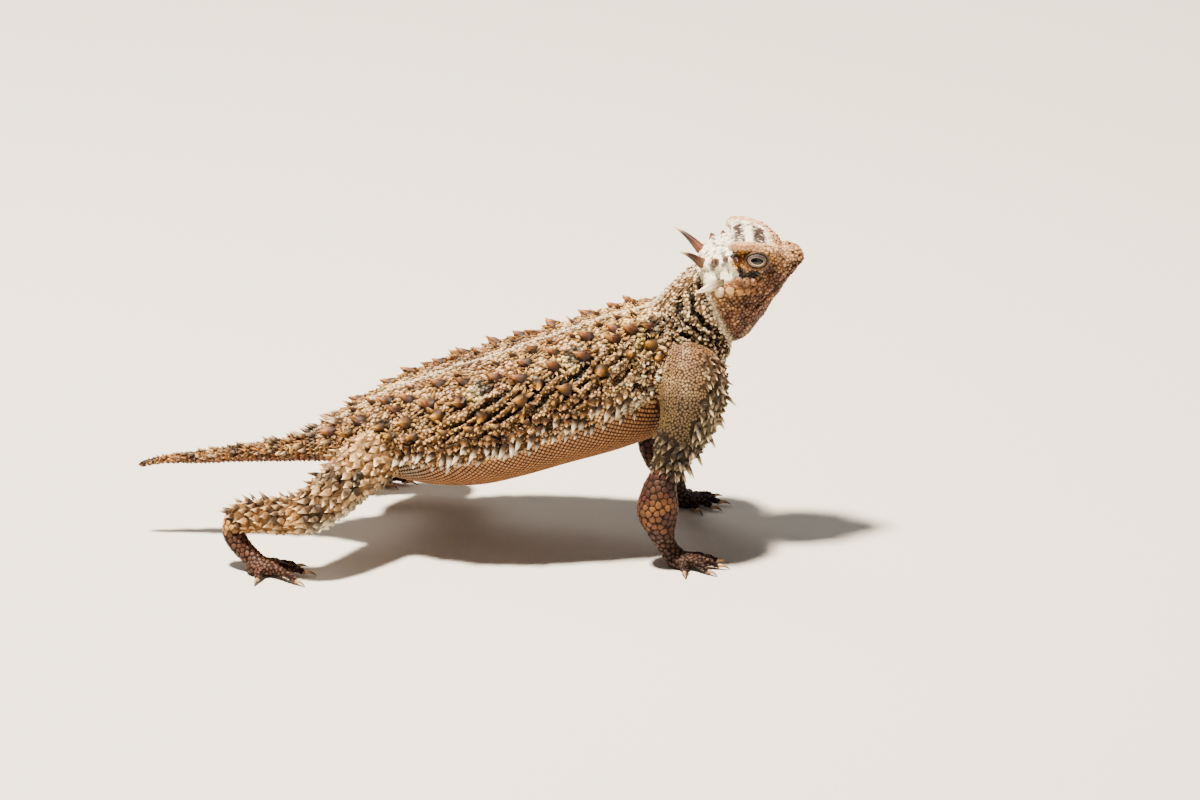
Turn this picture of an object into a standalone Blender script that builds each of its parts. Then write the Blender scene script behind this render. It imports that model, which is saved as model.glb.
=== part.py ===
# A Texas horned lizard at life size, standing alert with its head raised.
# Sizes below are in millimetres and degrees. MM turns them into metres.
# +X runs toward the head, +Z is up, and the animal's right side faces -Y.
import math
import random

import bmesh
import bpy
from mathutils import Matrix, Vector

MM = 0.001
GAP = 0.3
SEED = 7
SHARP_ANGLE = 40

# Trunk sections from the tail tip to the nape:
# place along X, height of the centre, half width, half height, pitch of the section
TRUNK = [
    (-60.3, 12.8, 0.5, 0.5, 14),
    (-56.1, 13.9, 1.0, 0.8, 8),
    (-48.9, 14.4, 1.5, 1.2, 5),
    (-41.6, 15.1, 2.0, 1.6, 5),
    (-36.2, 15.5, 2.5, 1.9, 5),
    (-30.8, 16.1, 3.3, 2.4, 8),
    (-26.2, 17.2, 5.2, 3.4, 12),
    (-22.6, 17.9, 7.6, 4.7, 11),
    (-18.1, 18.7, 10.5, 6.5, 10),
    (-12.7, 19.5, 14.0, 8.5, 9),
    (-7.2, 20.1, 17.0, 9.8, 10),
    (0.0, 21.4, 19.0, 11.0, 12),
    (7.2, 23.3, 19.3, 11.3, 15),
    (14.5, 25.6, 18.3, 11.6, 17),
    (23.5, 28.3, 16.5, 12.0, 18),
    (30.8, 31.0, 14.0, 12.0, 20),
    (35.6, 33.4, 11.6, 10.8, 26),
    (38.7, 36.7, 9.2, 9.4, 38),
    (41.2, 40.5, 7.9, 8.3, 46),
    (44.0, 44.0, 8.0, 7.8, 24),
]
NAPE = 19.0
BACK_POWER = 2.3
BELLY_POWER = 2.05
TRUNK_SIDES = 28
TAIL_SIDES = 14
# Lengths of the trunk: node, first and last place in the list above, rings, sides
TRUNK_NODES = [
    ("tail_tip", 0.0, 2.0, 7, TAIL_SIDES),
    ("tail_mid", 2.0, 4.0, 7, TAIL_SIDES),
    ("tail_base", 4.0, 6.2, 8, TAIL_SIDES),
    ("torso", 6.2, 17.0, 27, TRUNK_SIDES),
    ("neck", 17.0, NAPE, 7, TRUNK_SIDES),
]

# The head has its own frame: h forward along the skull, k up, both from the nape
NAPE_X = 44.0
NAPE_Z = 44.0
HEAD_PITCH = 22
HEAD_ROLL = 3
# Head sections: h, lowest k, highest k, half width
HEAD = [
    (0.15, -7.9, 7.8, 8.1),
    (1.3, -8.2, 8.8, 9.3),
    (3.3, -7.9, 9.6, 9.8),
    (5.4, -6.9, 9.9, 9.5),
    (7.5, -5.6, 10.0, 8.8),
    (9.5, -4.1, 9.5, 7.9),
    (11.0, -3.1, 8.9, 7.1),
    (12.4, -2.1, 8.0, 6.2),
    (13.6, -1.4, 7.0, 5.3),
    (14.8, -0.6, 5.9, 4.5),
    (16.0, -0.1, 5.5, 3.9),
    (17.0, 0.3, 5.1, 3.3),
    (17.9, 0.7, 4.4, 2.5),
    (18.3, 1.2, 3.7, 1.6),
]
# The top of the skull is round at the rear and flat between the brows
REAR_CROWN_POWER = 2.2
BROW_CROWN_POWER = 3.0
CROWN_FLAT_FROM = 4.0
CROWN_FLAT_AT = 8.0
JAW_POWER = 2.1
HEAD_SIDES = 24
HEAD_RINGS = 16

# Eye and lids
EYE_H = 10.6
EYE_K = 6.5
EYE_OUT = 5.4
EYE_RADIUS = 2.5
LID_THICKNESS = 0.55
EYE_OPENING_WIDTH = 3.9
EYE_OPENING_HEIGHT = 2.3
EYE_OPENING_FROM = 1.0
EYE_OPENING_TO = 5.0
EYE_OPENING_FLARE = 0.4
EYE_TURN_UP = 12
LID_SIDES = (12, 7)
EYE_SIDES = (14, 8)

# Horns: name, base h, base k, base distance out, tip h, tip k, tip out, base radius
HORNS = [
    ("occipital_horn", 1.3, 8.9, 3.7, -1.7, 13.6, 6.0, 1.25),
    ("temporal_horn_rear", 3.8, 8.9, 6.0, 3.5, 9.3, 8.5, 0.9),
    ("temporal_horn_mid", 5.7, 8.8, 6.2, 5.7, 9.1, 8.1, 0.65),
    ("temporal_horn_front", 7.5, 8.4, 6.5, 7.8, 8.4, 8.3, 0.7),
]
# The horns of the right side are worn a little shorter
HORN_SHARE = {"right": 0.87, "left": 1.03}
HORN_SIDES = 8
HORN_STATIONS = (0.0, 0.3, 0.6, 0.85, 1.0)
HORN_TAPER = 0.86
HORN_BOW = 0.06
BOSS_SPREAD = 0.35
BOSS_DEPTH = 2.6
SEAT_HEIGHT = 2.5
SEAT_SPREAD = 0.5

# Bony brow ridge and the shelf that carries the horns: h, k, out, radius
BROW = [
    (15.2, 5.4, 3.9, 0.7),
    (13.4, 7.6, 5.2, 0.85),
    (11.4, 9.3, 6.2, 0.95),
    (9.3, 10.4, 6.7, 1.05),
    (7.9, 10.7, 6.5, 1.0),
]
SHELF = [
    (8.0, 8.6, 6.4, 1.0),
    (6.0, 8.1, 6.4, 1.1),
    (4.2, 8.1, 6.0, 1.2),
    (2.6, 8.3, 4.9, 1.2),
    (1.8, 8.6, 3.0, 1.2),
]
RIDGE_SIDES = 5
SIDE_OUT = {"right": -1, "left": 1}

# Mouth, from the corner to the tip of the snout: h, k
MOUTH_CORNER = (7.0, -1.5)
MOUTH_TIP = (18.3, 1.4)
MOUTH_STATIONS = 6
MOUTH_DEPTH = 0.6
MOUTH_HEIGHT = 0.5
NOSTRIL_H = 17.2
NOSTRIL_K = 4.0
NOSTRIL_OUT = 2.2
NOSTRIL_RADIUS = 0.5
NOSTRIL_SIDES = (8, 6)

# Limbs, each as x, y, z and radius from inside the body to the middle of the sole.
# The seams are places in the list where the nodes part.
LIMBS = {
    "right_arm": [
        (37.4, -5.0, 34.2, 5.8), (40.2, -10.4, 32.0, 6.4), (39.4, -14.3, 26.6, 5.5),
        (36.6, -16.6, 20.4, 3.7), (35.2, -17.2, 17.2, 2.75), (34.2, -17.8, 13.6, 3.5),
        (33.9, -18.1, 10.2, 4.0), (34.4, -18.2, 7.2, 3.1), (35.1, -18.2, 4.6, 2.15),
        (36.2, -18.5, 2.7, 2.0), (38.2, -19.2, 1.5, 1.6),
    ],
    "left_arm": [
        (37.0, 5.0, 34.0, 5.6), (39.2, 10.4, 31.4, 6.1), (37.3, 13.6, 25.4, 5.2),
        (34.2, 14.2, 18.8, 3.7), (32.8, 14.2, 15.4, 2.8), (33.6, 14.4, 12.2, 3.4),
        (35.4, 14.2, 9.2, 3.7), (36.4, 14.0, 6.6, 2.9), (37.2, 14.0, 4.5, 2.15),
        (37.9, 14.4, 2.7, 2.0), (39.2, 15.2, 1.5, 1.6),
    ],
    "right_leg": [
        (-13.0, -3.0, 18.6, 5.2), (-17.0, -9.0, 17.4, 5.2), (-21.8, -16.4, 15.7, 4.7),
        (-26.0, -22.2, 13.2, 4.2), (-28.6, -24.2, 11.8, 3.7), (-32.4, -23.0, 11.0, 3.4),
        (-37.2, -20.6, 10.1, 3.15), (-40.9, -18.9, 9.1, 2.75), (-42.6, -18.4, 7.2, 2.3),
        (-41.8, -19.4, 4.8, 2.1), (-39.0, -21.6, 2.4, 1.9), (-37.0, -23.2, 1.5, 1.6),
    ],
    "left_leg": [
        (-13.0, 3.0, 18.6, 5.2), (-15.2, 9.4, 17.4, 5.2), (-11.4, 15.8, 16.2, 4.7),
        (-7.6, 20.8, 14.4, 4.2), (-6.2, 23.6, 12.6, 3.7), (-9.4, 24.6, 11.4, 3.4),
        (-14.6, 24.0, 9.8, 3.1), (-19.4, 22.8, 8.8, 2.6), (-22.2, 22.8, 7.3, 2.2),
        (-22.6, 24.2, 4.8, 2.0), (-20.8, 27.0, 2.6, 1.9), (-18.8, 29.0, 1.5, 1.6),
    ],
}
LIMB_NODES = {"arm": ("upper_arm", "forearm", "hand"), "leg": ("thigh", "shank", "foot")}
LIMB_SEAMS = (4, 8)
LIMB_SIDES = 10
# The stretch of the trunk that the limbs are fitted against
BODY_FROM = 4.0
BODY_RINGS = 44
JOINT_REACH = 0.9
JOINT_TAPER = 0.72
PLANE_MARGIN = 1e-7
SOLE_SIZE = {"arm": (2.9, 2.6, 1.5), "leg": (3.3, 2.7, 1.6)}
# Tips of the toes from inner to outer: x, y
TOES = {
    "right_arm": [(43.6, -14.6), (46.2, -17.6), (46.4, -21.2), (44.2, -25.0), (38.8, -26.2)],
    "left_arm": [(42.0, 9.6), (45.4, 11.8), (47.0, 15.4), (45.6, 19.8), (40.4, 22.2)],
    "right_leg": [(-33.4, -17.6), (-29.6, -20.2), (-28.0, -24.6), (-29.8, -30.6), (-38.4, -30.0)],
    "left_leg": [(-14.0, 24.4), (-10.6, 26.8), (-9.6, 31.2), (-12.4, 36.2), (-20.4, 35.6)],
}
SOLE_SIDES = (10, 6)
SOLE_RISE = 0.8
TOE_ROOT_RADIUS = 1.15
TOE_TIP_RADIUS = 0.62
TOE_STATIONS = (0.15, 0.55, 1.0)
TOE_RISE = 0.85
TOE_ARCH = 0.75
TOE_SIDES = 6
CLAW_LENGTH = 2.0
CLAW_RADIUS = 0.45
CLAW_OVERLAP = 0.5
CLAW_BEYOND_TOE = 0.3
CLAW_TILT = 0.13
FLOOR_DEPTH = 20.0
FLOOR_WIDTH = 300.0

# Spines of the back, in rows on both sides: angle up from the side, spacing, height, radius, sides
BACK_ROWS = [
    (80, 4.6, 1.6, 0.75, 4),
    (66, 5.6, 2.2, 1.05, 5),
    (51, 6.0, 2.4, 1.1, 5),
    (35, 5.2, 1.9, 0.95, 4),
    (19, 5.0, 1.5, 0.8, 4),
]
BACK_FROM_X = -23.5
BACK_TO_X = 37.0
BACK_LEAN = 26
# The spines of the rump are longer than the rest
RUMP_X = -14.0
RUMP_GROWTH = 1.25
# Fringe scales along the flank: angle up from the side, first x, last x, spacing, length, radius, droop
FRINGE_ROWS = [
    (4, -15.0, 30.5, 2.3, 2.9, 0.95, 30),
    (-17, -9.0, 27.0, 3.2, 1.8, 0.7, 35),
]
FRINGE_LEAN = 22
FRINGE_FLAT = 0.45
# Whorls of spines round the tail: first x, last x, spacing, angles up from the side
TAIL_WHORLS = (-58.0, -27.6, 3.4)
TAIL_ANGLES = (-8, 32, 68)
TAIL_LEAN = 40
TAIL_MARGIN = 0.2
TAIL_SPINE_LEAST = 0.7
TAIL_SPINE_SHARE = 0.5
TAIL_SPINE_SLENDER = 0.34
# Small spines of the nape: place along the trunk, angle, height, radius
NAPE_SPINES = [
    (17.3, 82, 2.2, 0.9),
    (17.6, 58, 2.1, 0.85),
    (17.5, 28, 1.7, 0.8),
    (17.95, 80, 2.0, 0.8),
    (18.3, 60, 1.7, 0.75),
    (18.3, 28, 1.6, 0.8),
]
# Pointed scales of the limbs: limb kind, first and last place, rows along,
# turns round from the facing side, facing side, length, radius, lean toward the foot
LIMB_SPINES = [
    ("arm", 0.9, 3.6, 6, (-50, -17, 17, 50), (1, 0, 0.2), 2.5, 0.95, 55),
    ("leg", 1.5, 3.4, 4, (-50, -10, 30), (-0.3, 0, 1), 2.0, 0.85, 50),
    ("leg", 4.7, 7.4, 4, (-55, -15, 25), (0, 0, 1), 1.8, 0.8, 50),
]
LIMB_SPINE_FLAT = 0.55
LIMB_STAGGER = 0.25
LIMB_SURFACE = 0.96
LIMB_STEP = 0.1
JOINT_CLEAR = 0.35
TRUNK_CLEAR = 1.5
TRUNK_SEARCH = 191
CLEAR_OF_LIMB = 0.7
LIMB_SEARCH = 4
SPINE_SINK = 0.85
SPINE_SIDES = 4
UP = Vector((0, 0, 1))
JITTER_PLACE = 0.16
JITTER_ANGLE = 2.5
JITTER_SIZE = 0.18

# Pointed shields of the head, on both sides: base h, k, out, tip h, k, out, radius
HEAD_SPIKES = [
    (8.4, 10.3, 6.4, 7.8, 12.1, 6.9, 1.3),
    (1.6, 5.3, 8.8, -1.1, 6.9, 10.4, 1.1),
    (3.4, 4.2, 9.2, 1.9, 3.9, 11.2, 1.1),
    (5.4, 3.2, 8.9, 4.3, 2.7, 10.7, 1.0),
    (7.4, 2.2, 8.2, 6.5, 1.6, 9.8, 0.85),
    (9.3, 1.4, 7.4, 8.6, 0.9, 8.8, 0.7),
]
SPIKE_FLAT = 0.6
SPIKE_SIDES = 5
# Knobs of the cheek: h, k, out, radius
CHEEK_KNOBS = [(8.6, 3.5, 7.9, 0.95), (7.0, 4.2, 8.5, 0.85), (9.9, 3.0, 7.5, 0.7)]
KNOB_SIDES = (6, 4)

# Looks of the solids: colour, roughness
LOOKS = {
    "back": ((0.36, 0.20, 0.12, 1), 0.8),
    "head": ((0.45, 0.30, 0.20, 1), 0.75),
    "limb": ((0.40, 0.27, 0.15, 1), 0.8),
    "horn": ((0.20, 0.09, 0.07, 1), 0.5),
    "eye": ((0.05, 0.04, 0.03, 1), 0.1),
}


def clear_scene():
    for obj in list(bpy.data.objects):
        bpy.data.objects.remove(obj)


def make_collections():
    """The model, the shapes to be joined to it and the shapes to be cut from it."""
    groups = [bpy.data.collections.new(name) for name in ("horned_lizard", "additions", "cutters")]
    for group in groups:
        bpy.context.scene.collection.children.link(group)
    return groups


def make_looks():
    looks = {}
    for name, (colour, roughness) in LOOKS.items():
        look = bpy.data.materials.new(name)
        look.use_nodes = True
        shader = look.node_tree.nodes["Principled BSDF"]
        shader.inputs["Base Color"].default_value = colour
        shader.inputs["Roughness"].default_value = roughness
        looks[name] = look
    return looks


def blend(rows, at):
    """Smooth values at a fractional place along a list of rows."""
    last = len(rows) - 1
    first = min(max(int(at), 0), last - 1)
    t = at - first
    a, b, c, d = (rows[min(max(i, 0), last)] for i in range(first - 1, first + 3))
    return [
        0.5 * (2 * q + (r - p) * t + (2 * p - 5 * q + 4 * r - s) * t**2 + (3 * q - p - 3 * r + s) * t**3)
        for p, q, r, s in zip(a, b, c, d)
    ]


def spread(start, end, count):
    return [start + (end - start) * i / (count - 1) for i in range(count)]


def signed_power(value, power):
    return math.copysign(abs(value) ** power, value)


def section(angle, half_width, half_height, top_power, low_power):
    """A point of a rounded section: distance out and distance up from its centre."""
    power = top_power if math.sin(angle) > 0 else low_power
    out = half_width * signed_power(math.cos(angle), 2 / power)
    up = half_height * signed_power(math.sin(angle), 2 / power)
    return out, up


def trunk_frame(at):
    x, z, half_width, half_height, pitch = blend(TRUNK, at)
    turn = math.radians(pitch)
    forward = Vector((math.cos(turn), 0, math.sin(turn)))
    up = Vector((-math.sin(turn), 0, math.cos(turn)))
    return Vector((x, 0, z)), forward, up, half_width, half_height


def trunk_point(at, angle, grow=0.0, slide=0.0):
    centre, forward, up, half_width, half_height = trunk_frame(at)
    out, rise = section(angle, half_width + grow, half_height + grow, BACK_POWER, BELLY_POWER)
    return centre + forward * slide + Vector((0, out, 0)) + up * rise


def trunk_axes(at, angle):
    """Point, outward normal and direction to the tail on the trunk's surface."""
    step = 0.02
    here = trunk_point(at, angle)
    along = trunk_point(min(at + step, NAPE), angle) - trunk_point(max(at - step, 0), angle)
    round_it = trunk_point(at, angle + step) - trunk_point(at, angle - step)
    normal = along.cross(round_it).normalized()
    if normal.dot(here - trunk_frame(at)[0]) < 0:
        normal.negate()
    return here, normal, -along.normalized()


def place_at_x(x):
    """The place along the trunk whose centre lies at x."""
    low, high = 0.0, NAPE
    for _ in range(30):
        middle = (low + high) / 2
        if blend(TRUNK, middle)[0] < x:
            low = middle
        else:
            high = middle
    return low


def inside_trunk(point, grow):
    """True where a point lies inside the trunk grown by some depth."""
    best = None
    for at in spread(0, NAPE, TRUNK_SEARCH):
        centre, forward, up, half_width, half_height = trunk_frame(at)
        away = point - centre
        if best is None or abs(away.dot(forward)) < best[0]:
            across = away.y / (half_width + grow)
            rise = away.dot(up) / (half_height + grow)
            best = (abs(away.dot(forward)), across**2 + rise**2)
    return best[1] < 1


def clear_of_limbs(point):
    """True where a point is clear of every limb."""
    for path in LIMBS.values():
        for at in spread(0, len(path) - 1, LIMB_SEARCH * len(path)):
            row = blend(path, at)
            if (point - Vector(row[:3])).length < row[3] + CLEAR_OF_LIMB:
                return False
    return True


def head_point(h, out, k):
    turn = math.radians(HEAD_PITCH)
    roll = math.radians(HEAD_ROLL)
    side = out * math.cos(roll) - k * math.sin(roll)
    rise = k * math.cos(roll) + out * math.sin(roll)
    return Vector((
        NAPE_X + h * math.cos(turn) - rise * math.sin(turn),
        side,
        NAPE_Z + h * math.sin(turn) + rise * math.cos(turn),
    ))


def mesh_object(name, bm, collection):
    """Turns a bmesh in millimetres into an object in metres."""
    bmesh.ops.recalc_face_normals(bm, faces=bm.faces)
    bmesh.ops.scale(bm, vec=(MM, MM, MM), verts=bm.verts)
    mesh = bpy.data.meshes.new(name)
    bm.to_mesh(mesh)
    bm.free()
    obj = bpy.data.objects.new(name, mesh)
    collection.objects.link(obj)
    return obj


def loft(name, rings, collection):
    """A closed body through rings that have one number of points each."""
    bm = bmesh.new()
    loops = [[bm.verts.new(point) for point in ring] for ring in rings]
    sides = len(loops[0])
    for near, far in zip(loops, loops[1:]):
        for i in range(sides):
            j = (i + 1) % sides
            bm.faces.new((near[i], near[j], far[j], far[i]))
    bm.faces.new(loops[0])
    bm.faces.new(reversed(loops[-1]))
    return mesh_object(name, bm, collection)


def trunk_length(name, start, end, rings, sides, collection, grow=0.0, gaps=(True, True)):
    """One length of the trunk, with half a gap left at each end that meets a neighbour."""
    stations = []
    for place in spread(start, end, rings):
        slide = 0.0
        if place == start and gaps[0]:
            slide = GAP / 2
        if place == end and gaps[1]:
            slide = -GAP / 2
        turns = [2 * math.pi * i / sides for i in range(sides)]
        stations.append([trunk_point(place, turn, grow, slide) for turn in turns])
    return loft(name, stations, collection)


def head_outline(h):
    """Centre k, half height and half width of the head at a place along it."""
    for row, (low, high) in enumerate(zip(HEAD, HEAD[1:])):
        if h <= high[0] or row == len(HEAD) - 2:
            at = row + (h - low[0]) / (high[0] - low[0])
            break
    _, lowest, highest, half_width = blend(HEAD, max(at, 0))
    return (lowest + highest) / 2, (highest - lowest) / 2, half_width


def crown_power(h):
    share = min(max((h - CROWN_FLAT_FROM) / (CROWN_FLAT_AT - CROWN_FLAT_FROM), 0), 1)
    return REAR_CROWN_POWER + (BROW_CROWN_POWER - REAR_CROWN_POWER) * share


def skull_core(collection):
    rings = []
    for h in spread(HEAD[0][0], HEAD[-1][0], HEAD_RINGS):
        middle, half_height, half_width = head_outline(h)
        ring = []
        for i in range(HEAD_SIDES):
            turn = 2 * math.pi * i / HEAD_SIDES
            out, up = section(turn, half_width, half_height, crown_power(h), JAW_POWER)
            ring.append(head_point(h, out, middle + up))
        rings.append(ring)
    return loft("skull", rings, collection)


def turned_frames(points):
    """Direction and two cross axes at each point of a path, turned as little as possible."""
    frames = []
    across = None
    for i, point in enumerate(points):
        ahead = points[min(i + 1, len(points) - 1)] - points[max(i - 1, 0)]
        ahead.normalize()
        if across is None:
            across = ahead.orthogonal()
        across = (across - ahead * across.dot(ahead)).normalized()
        frames.append((point, ahead, across, ahead.cross(across)))
    return frames


def tube(name, rows, sides, collection):
    """A closed tapered tube through rows of x, y, z and radius."""
    rings = []
    for (point, _, a, b), row in zip(turned_frames([Vector(r[:3]) for r in rows]), rows):
        turns = [2 * math.pi * i / sides for i in range(sides)]
        rings.append([point + (a * math.cos(t) + b * math.sin(t)) * row[3] for t in turns])
    return loft(name, rings, collection)


def cone(name, root, tip, radii, sides, collection, flat=1.0, flat_axis=None):
    """A straight cone from root to tip, flattened along one axis where asked."""
    length = (tip - root).length
    bm = bmesh.new()
    bmesh.ops.create_cone(
        bm, cap_ends=True, segments=sides, radius1=radii[0], radius2=radii[1], depth=length
    )
    bmesh.ops.translate(bm, vec=(0, 0, length / 2), verts=bm.verts)
    ahead = (tip - root).normalized()
    thin = flat_axis if flat_axis is not None else ahead.orthogonal()
    thin = (thin - ahead * thin.dot(ahead)).normalized()
    wide = thin.cross(ahead)
    bmesh.ops.scale(bm, vec=(1, flat, 1), verts=bm.verts)
    turn = Matrix((wide, thin, ahead)).transposed().to_4x4()
    bmesh.ops.transform(bm, matrix=Matrix.Translation(root) @ turn, verts=bm.verts)
    return mesh_object(name, bm, collection)


def spine(here, direction, height, radius, sides, collection, flat=1.0, flat_axis=None):
    """A spine whose root is sunk below the surface that it grows from."""
    root = here - direction * radius * SPINE_SINK
    cone("spine", root, here + direction * height, (radius, 0), sides, collection, flat, flat_axis)


def jitter(amount):
    return random.uniform(-amount, amount)


def ball(name, centre, radius, sides, collection):
    bm = bmesh.new()
    bmesh.ops.create_uvsphere(bm, u_segments=sides[0], v_segments=sides[1], radius=radius)
    bmesh.ops.translate(bm, vec=centre, verts=bm.verts)
    return mesh_object(name, bm, collection)


def keep_largest(obj):
    """Keeps the largest closed surface of a mesh and drops the rest."""
    bm = bmesh.new()
    bm.from_mesh(obj.data)
    bmesh.ops.triangulate(bm, faces=bm.faces)
    unseen = set(bm.faces)
    shells = []
    while unseen:
        shell = {unseen.pop()}
        edge = list(shell)
        while edge:
            face = edge.pop()
            near = {f for e in face.edges for f in e.link_faces} - shell
            shell |= near
            edge += near
        unseen -= shell
        spans = [v.co for f in shell for v in f.verts]
        size = sum(max(c[i] for c in spans) - min(c[i] for c in spans) for i in range(3))
        shells.append((size, shell))
    largest = max(shells, key=lambda pair: pair[0])[1]
    bmesh.ops.delete(bm, geom=[f for f in bm.faces if f not in largest], context="FACES")
    bm.to_mesh(obj.data)
    bm.free()


def apply_boolean(obj, operation, collection):
    """Joins or cuts an object by all closed meshes of a collection, then removes them."""
    change = obj.modifiers.new(operation.lower(), "BOOLEAN")
    change.operation = operation
    change.operand_type = "COLLECTION"
    change.collection = collection
    change.solver = "EXACT"
    graph = bpy.context.evaluated_depsgraph_get()
    result = bpy.data.meshes.new_from_object(obj.evaluated_get(graph))
    obj.modifiers.remove(change)
    obj.data = result
    for piece in list(collection.objects):
        bpy.data.objects.remove(piece)
    keep_largest(obj)


def finish_node(obj, name, look):
    obj.name = name
    obj.data.name = name
    obj.data.materials.clear()
    obj.data.materials.append(look)
    obj.data.shade_smooth()
    obj.data.set_sharp_from_angle(angle=math.radians(SHARP_ANGLE))


def lean_over(normal, toward, degrees):
    lean = math.radians(degrees)
    return (normal * math.cos(lean) + toward * math.sin(lean)).normalized()


def add_trunk_spine(at, angle, height, radius, sides, lean, additions):
    here, normal, tailward = trunk_axes(at, math.radians(angle))
    direction = lean_over(normal, tailward, lean)
    tip = here + direction * height
    if clear_of_limbs(here) and clear_of_limbs(tip):
        spine(here, direction, height, radius, sides, additions)


def add_back_spines(additions):
    for row, (angle, spacing, height, radius, sides) in enumerate(BACK_ROWS):
        for side in (angle, 180 - angle):
            x = BACK_FROM_X + spacing * (0.5 if row % 2 else 0.0)
            while x < BACK_TO_X:
                place = place_at_x(x + jitter(JITTER_PLACE) * spacing)
                size = 1 + jitter(JITTER_SIZE)
                tall = height * size * (RUMP_GROWTH if x < RUMP_X else 1)
                turn = side + jitter(JITTER_ANGLE)
                add_trunk_spine(place, turn, tall, radius * size, sides, BACK_LEAN, additions)
                x += spacing


def add_fringe(additions):
    for angle, first, last, spacing, length, radius, droop in FRINGE_ROWS:
        sink = math.radians(droop)
        for sign, side in ((1, angle), (-1, 180 - angle)):
            outward = Vector((0, sign * math.cos(sink), -math.sin(sink)))
            x = first
            while x < last:
                place = place_at_x(x + jitter(JITTER_PLACE) * spacing)
                here, _, tailward = trunk_axes(place, math.radians(side + jitter(JITTER_ANGLE)))
                direction = lean_over(outward, tailward, FRINGE_LEAN)
                size = 1 + jitter(JITTER_SIZE)
                reach = length * size
                if clear_of_limbs(here) and clear_of_limbs(here + direction * reach):
                    spine(here, direction, reach, radius * size, SPINE_SIDES, additions, FRINGE_FLAT, UP)
                x += spacing


def add_tail_whorls(first, last, additions):
    start, end, spacing = TAIL_WHORLS
    x = start
    while x < end:
        place = place_at_x(x)
        if first < place < last:
            width = trunk_frame(place)[3]
            for angle in TAIL_ANGLES:
                for side in (angle, 180 - angle):
                    height = (TAIL_SPINE_LEAST + TAIL_SPINE_SHARE * width) * (1 + jitter(JITTER_SIZE))
                    radius = TAIL_SPINE_SLENDER * height
                    add_trunk_spine(place, side, height, radius, SPINE_SIDES, TAIL_LEAN, additions)
        x += spacing


def add_nape_spines(additions):
    for at, angle, height, radius in NAPE_SPINES:
        for side in (angle, 180 - angle):
            add_trunk_spine(at, side, height, radius, SPINE_SIDES, BACK_LEAN, additions)


def build_trunk(parts, additions, looks):
    for name, start, end, rings, sides in TRUNK_NODES:
        gaps = (start > 0, True)
        obj = trunk_length(name, start, end, rings, sides, parts, gaps=gaps)
        if name.startswith("tail"):
            add_tail_whorls(start + TAIL_MARGIN, end - TAIL_MARGIN, additions)
        elif name == "torso":
            add_back_spines(additions)
            add_fringe(additions)
        else:
            add_nape_spines(additions)
        apply_boolean(obj, "UNION", additions)
        finish_node(obj, name, looks["back"])


def eye_centre(side):
    return head_point(EYE_H, SIDE_OUT[side] * EYE_OUT, EYE_K)


def add_lids(additions):
    radius = EYE_RADIUS + GAP + LID_THICKNESS
    for side in SIDE_OUT:
        ball("lid", eye_centre(side), radius, LID_SIDES, additions)


def cut_eyes(cutters):
    """The sockets, and the openings between the lids."""
    rise = math.radians(EYE_TURN_UP)
    half = EYE_OPENING_WIDTH / 2
    flat = EYE_OPENING_HEIGHT / EYE_OPENING_WIDTH
    for side, sign in SIDE_OUT.items():
        centre = eye_centre(side)
        ball("socket", centre, EYE_RADIUS + GAP, LID_SIDES, cutters)
        gaze = Vector((0, sign * math.cos(rise), math.sin(rise)))
        inner = centre + gaze * EYE_OPENING_FROM
        outer = centre + gaze * EYE_OPENING_TO
        cone("opening", inner, outer, (half, half + EYE_OPENING_FLARE), LID_SIDES[0], cutters, flat, UP)


def ridge_rows(points, sign):
    return [(*head_point(h, sign * out, k), radius) for h, k, out, radius in points]


def horn_axis(horn, side):
    """Base, direction, length and radius of a horn."""
    _, h0, k0, out0, h1, k1, out1, radius = horn
    sign = SIDE_OUT[side]
    base = head_point(h0, sign * out0, k0)
    reach = (head_point(h1, sign * out1, k1) - base) * HORN_SHARE[side]
    return base, reach.normalized(), reach.length, radius


def add_bosses(additions):
    """Short stumps on the skull, each ending in the flat face that its horn stands on."""
    for horn in HORNS:
        for side in SIDE_OUT:
            base, ahead, _, radius = horn_axis(horn, side)
            radii = (radius + 2 * BOSS_SPREAD, radius + BOSS_SPREAD / 2)
            cone("boss", base - ahead * BOSS_DEPTH, base, radii, HORN_SIDES, additions)


def add_head_spikes(additions):
    """Brow knob, jaw shields and cheek knobs, which are one with the skull's skin."""
    for sign in SIDE_OUT.values():
        for h0, k0, out0, h1, k1, out1, radius in HEAD_SPIKES:
            root = head_point(h0, sign * out0, k0)
            tip = head_point(h1, sign * out1, k1)
            inside = root - (tip - root).normalized() * radius
            cone("spike", inside, tip, (radius, 0), SPIKE_SIDES, additions, SPIKE_FLAT, UP)
        for h, k, out, radius in CHEEK_KNOBS:
            ball("knob", head_point(h, sign * out, k), radius, KNOB_SIDES, additions)


def cut_seats(cutters):
    """Clears the skull from above the flat face that each horn stands on."""
    for horn in HORNS:
        for side in SIDE_OUT:
            base, ahead, _, radius = horn_axis(horn, side)
            radii = (radius + SEAT_SPREAD, radius)
            cone("seat", base, base + ahead * SEAT_HEIGHT, radii, HORN_SIDES, cutters)


def mouth_path():
    """Lip line from the right corner round the snout to the left corner."""
    path = []
    for h in spread(MOUTH_CORNER[0], MOUTH_TIP[0], MOUTH_STATIONS):
        share = (h - MOUTH_CORNER[0]) / (MOUTH_TIP[0] - MOUTH_CORNER[0])
        k = MOUTH_CORNER[1] + share * (MOUTH_TIP[1] - MOUTH_CORNER[1])
        middle, half_height, half_width = head_outline(h)
        level = (k - middle) / half_height
        out = half_width * (1 - abs(level) ** JAW_POWER) ** (1 / JAW_POWER)
        path.append((h, out, k))
    right = [(h, -out, k) for h, out, k in path]
    front = [(MOUTH_TIP[0], 0.0, MOUTH_TIP[1])]
    return right + front + path[::-1]


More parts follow.
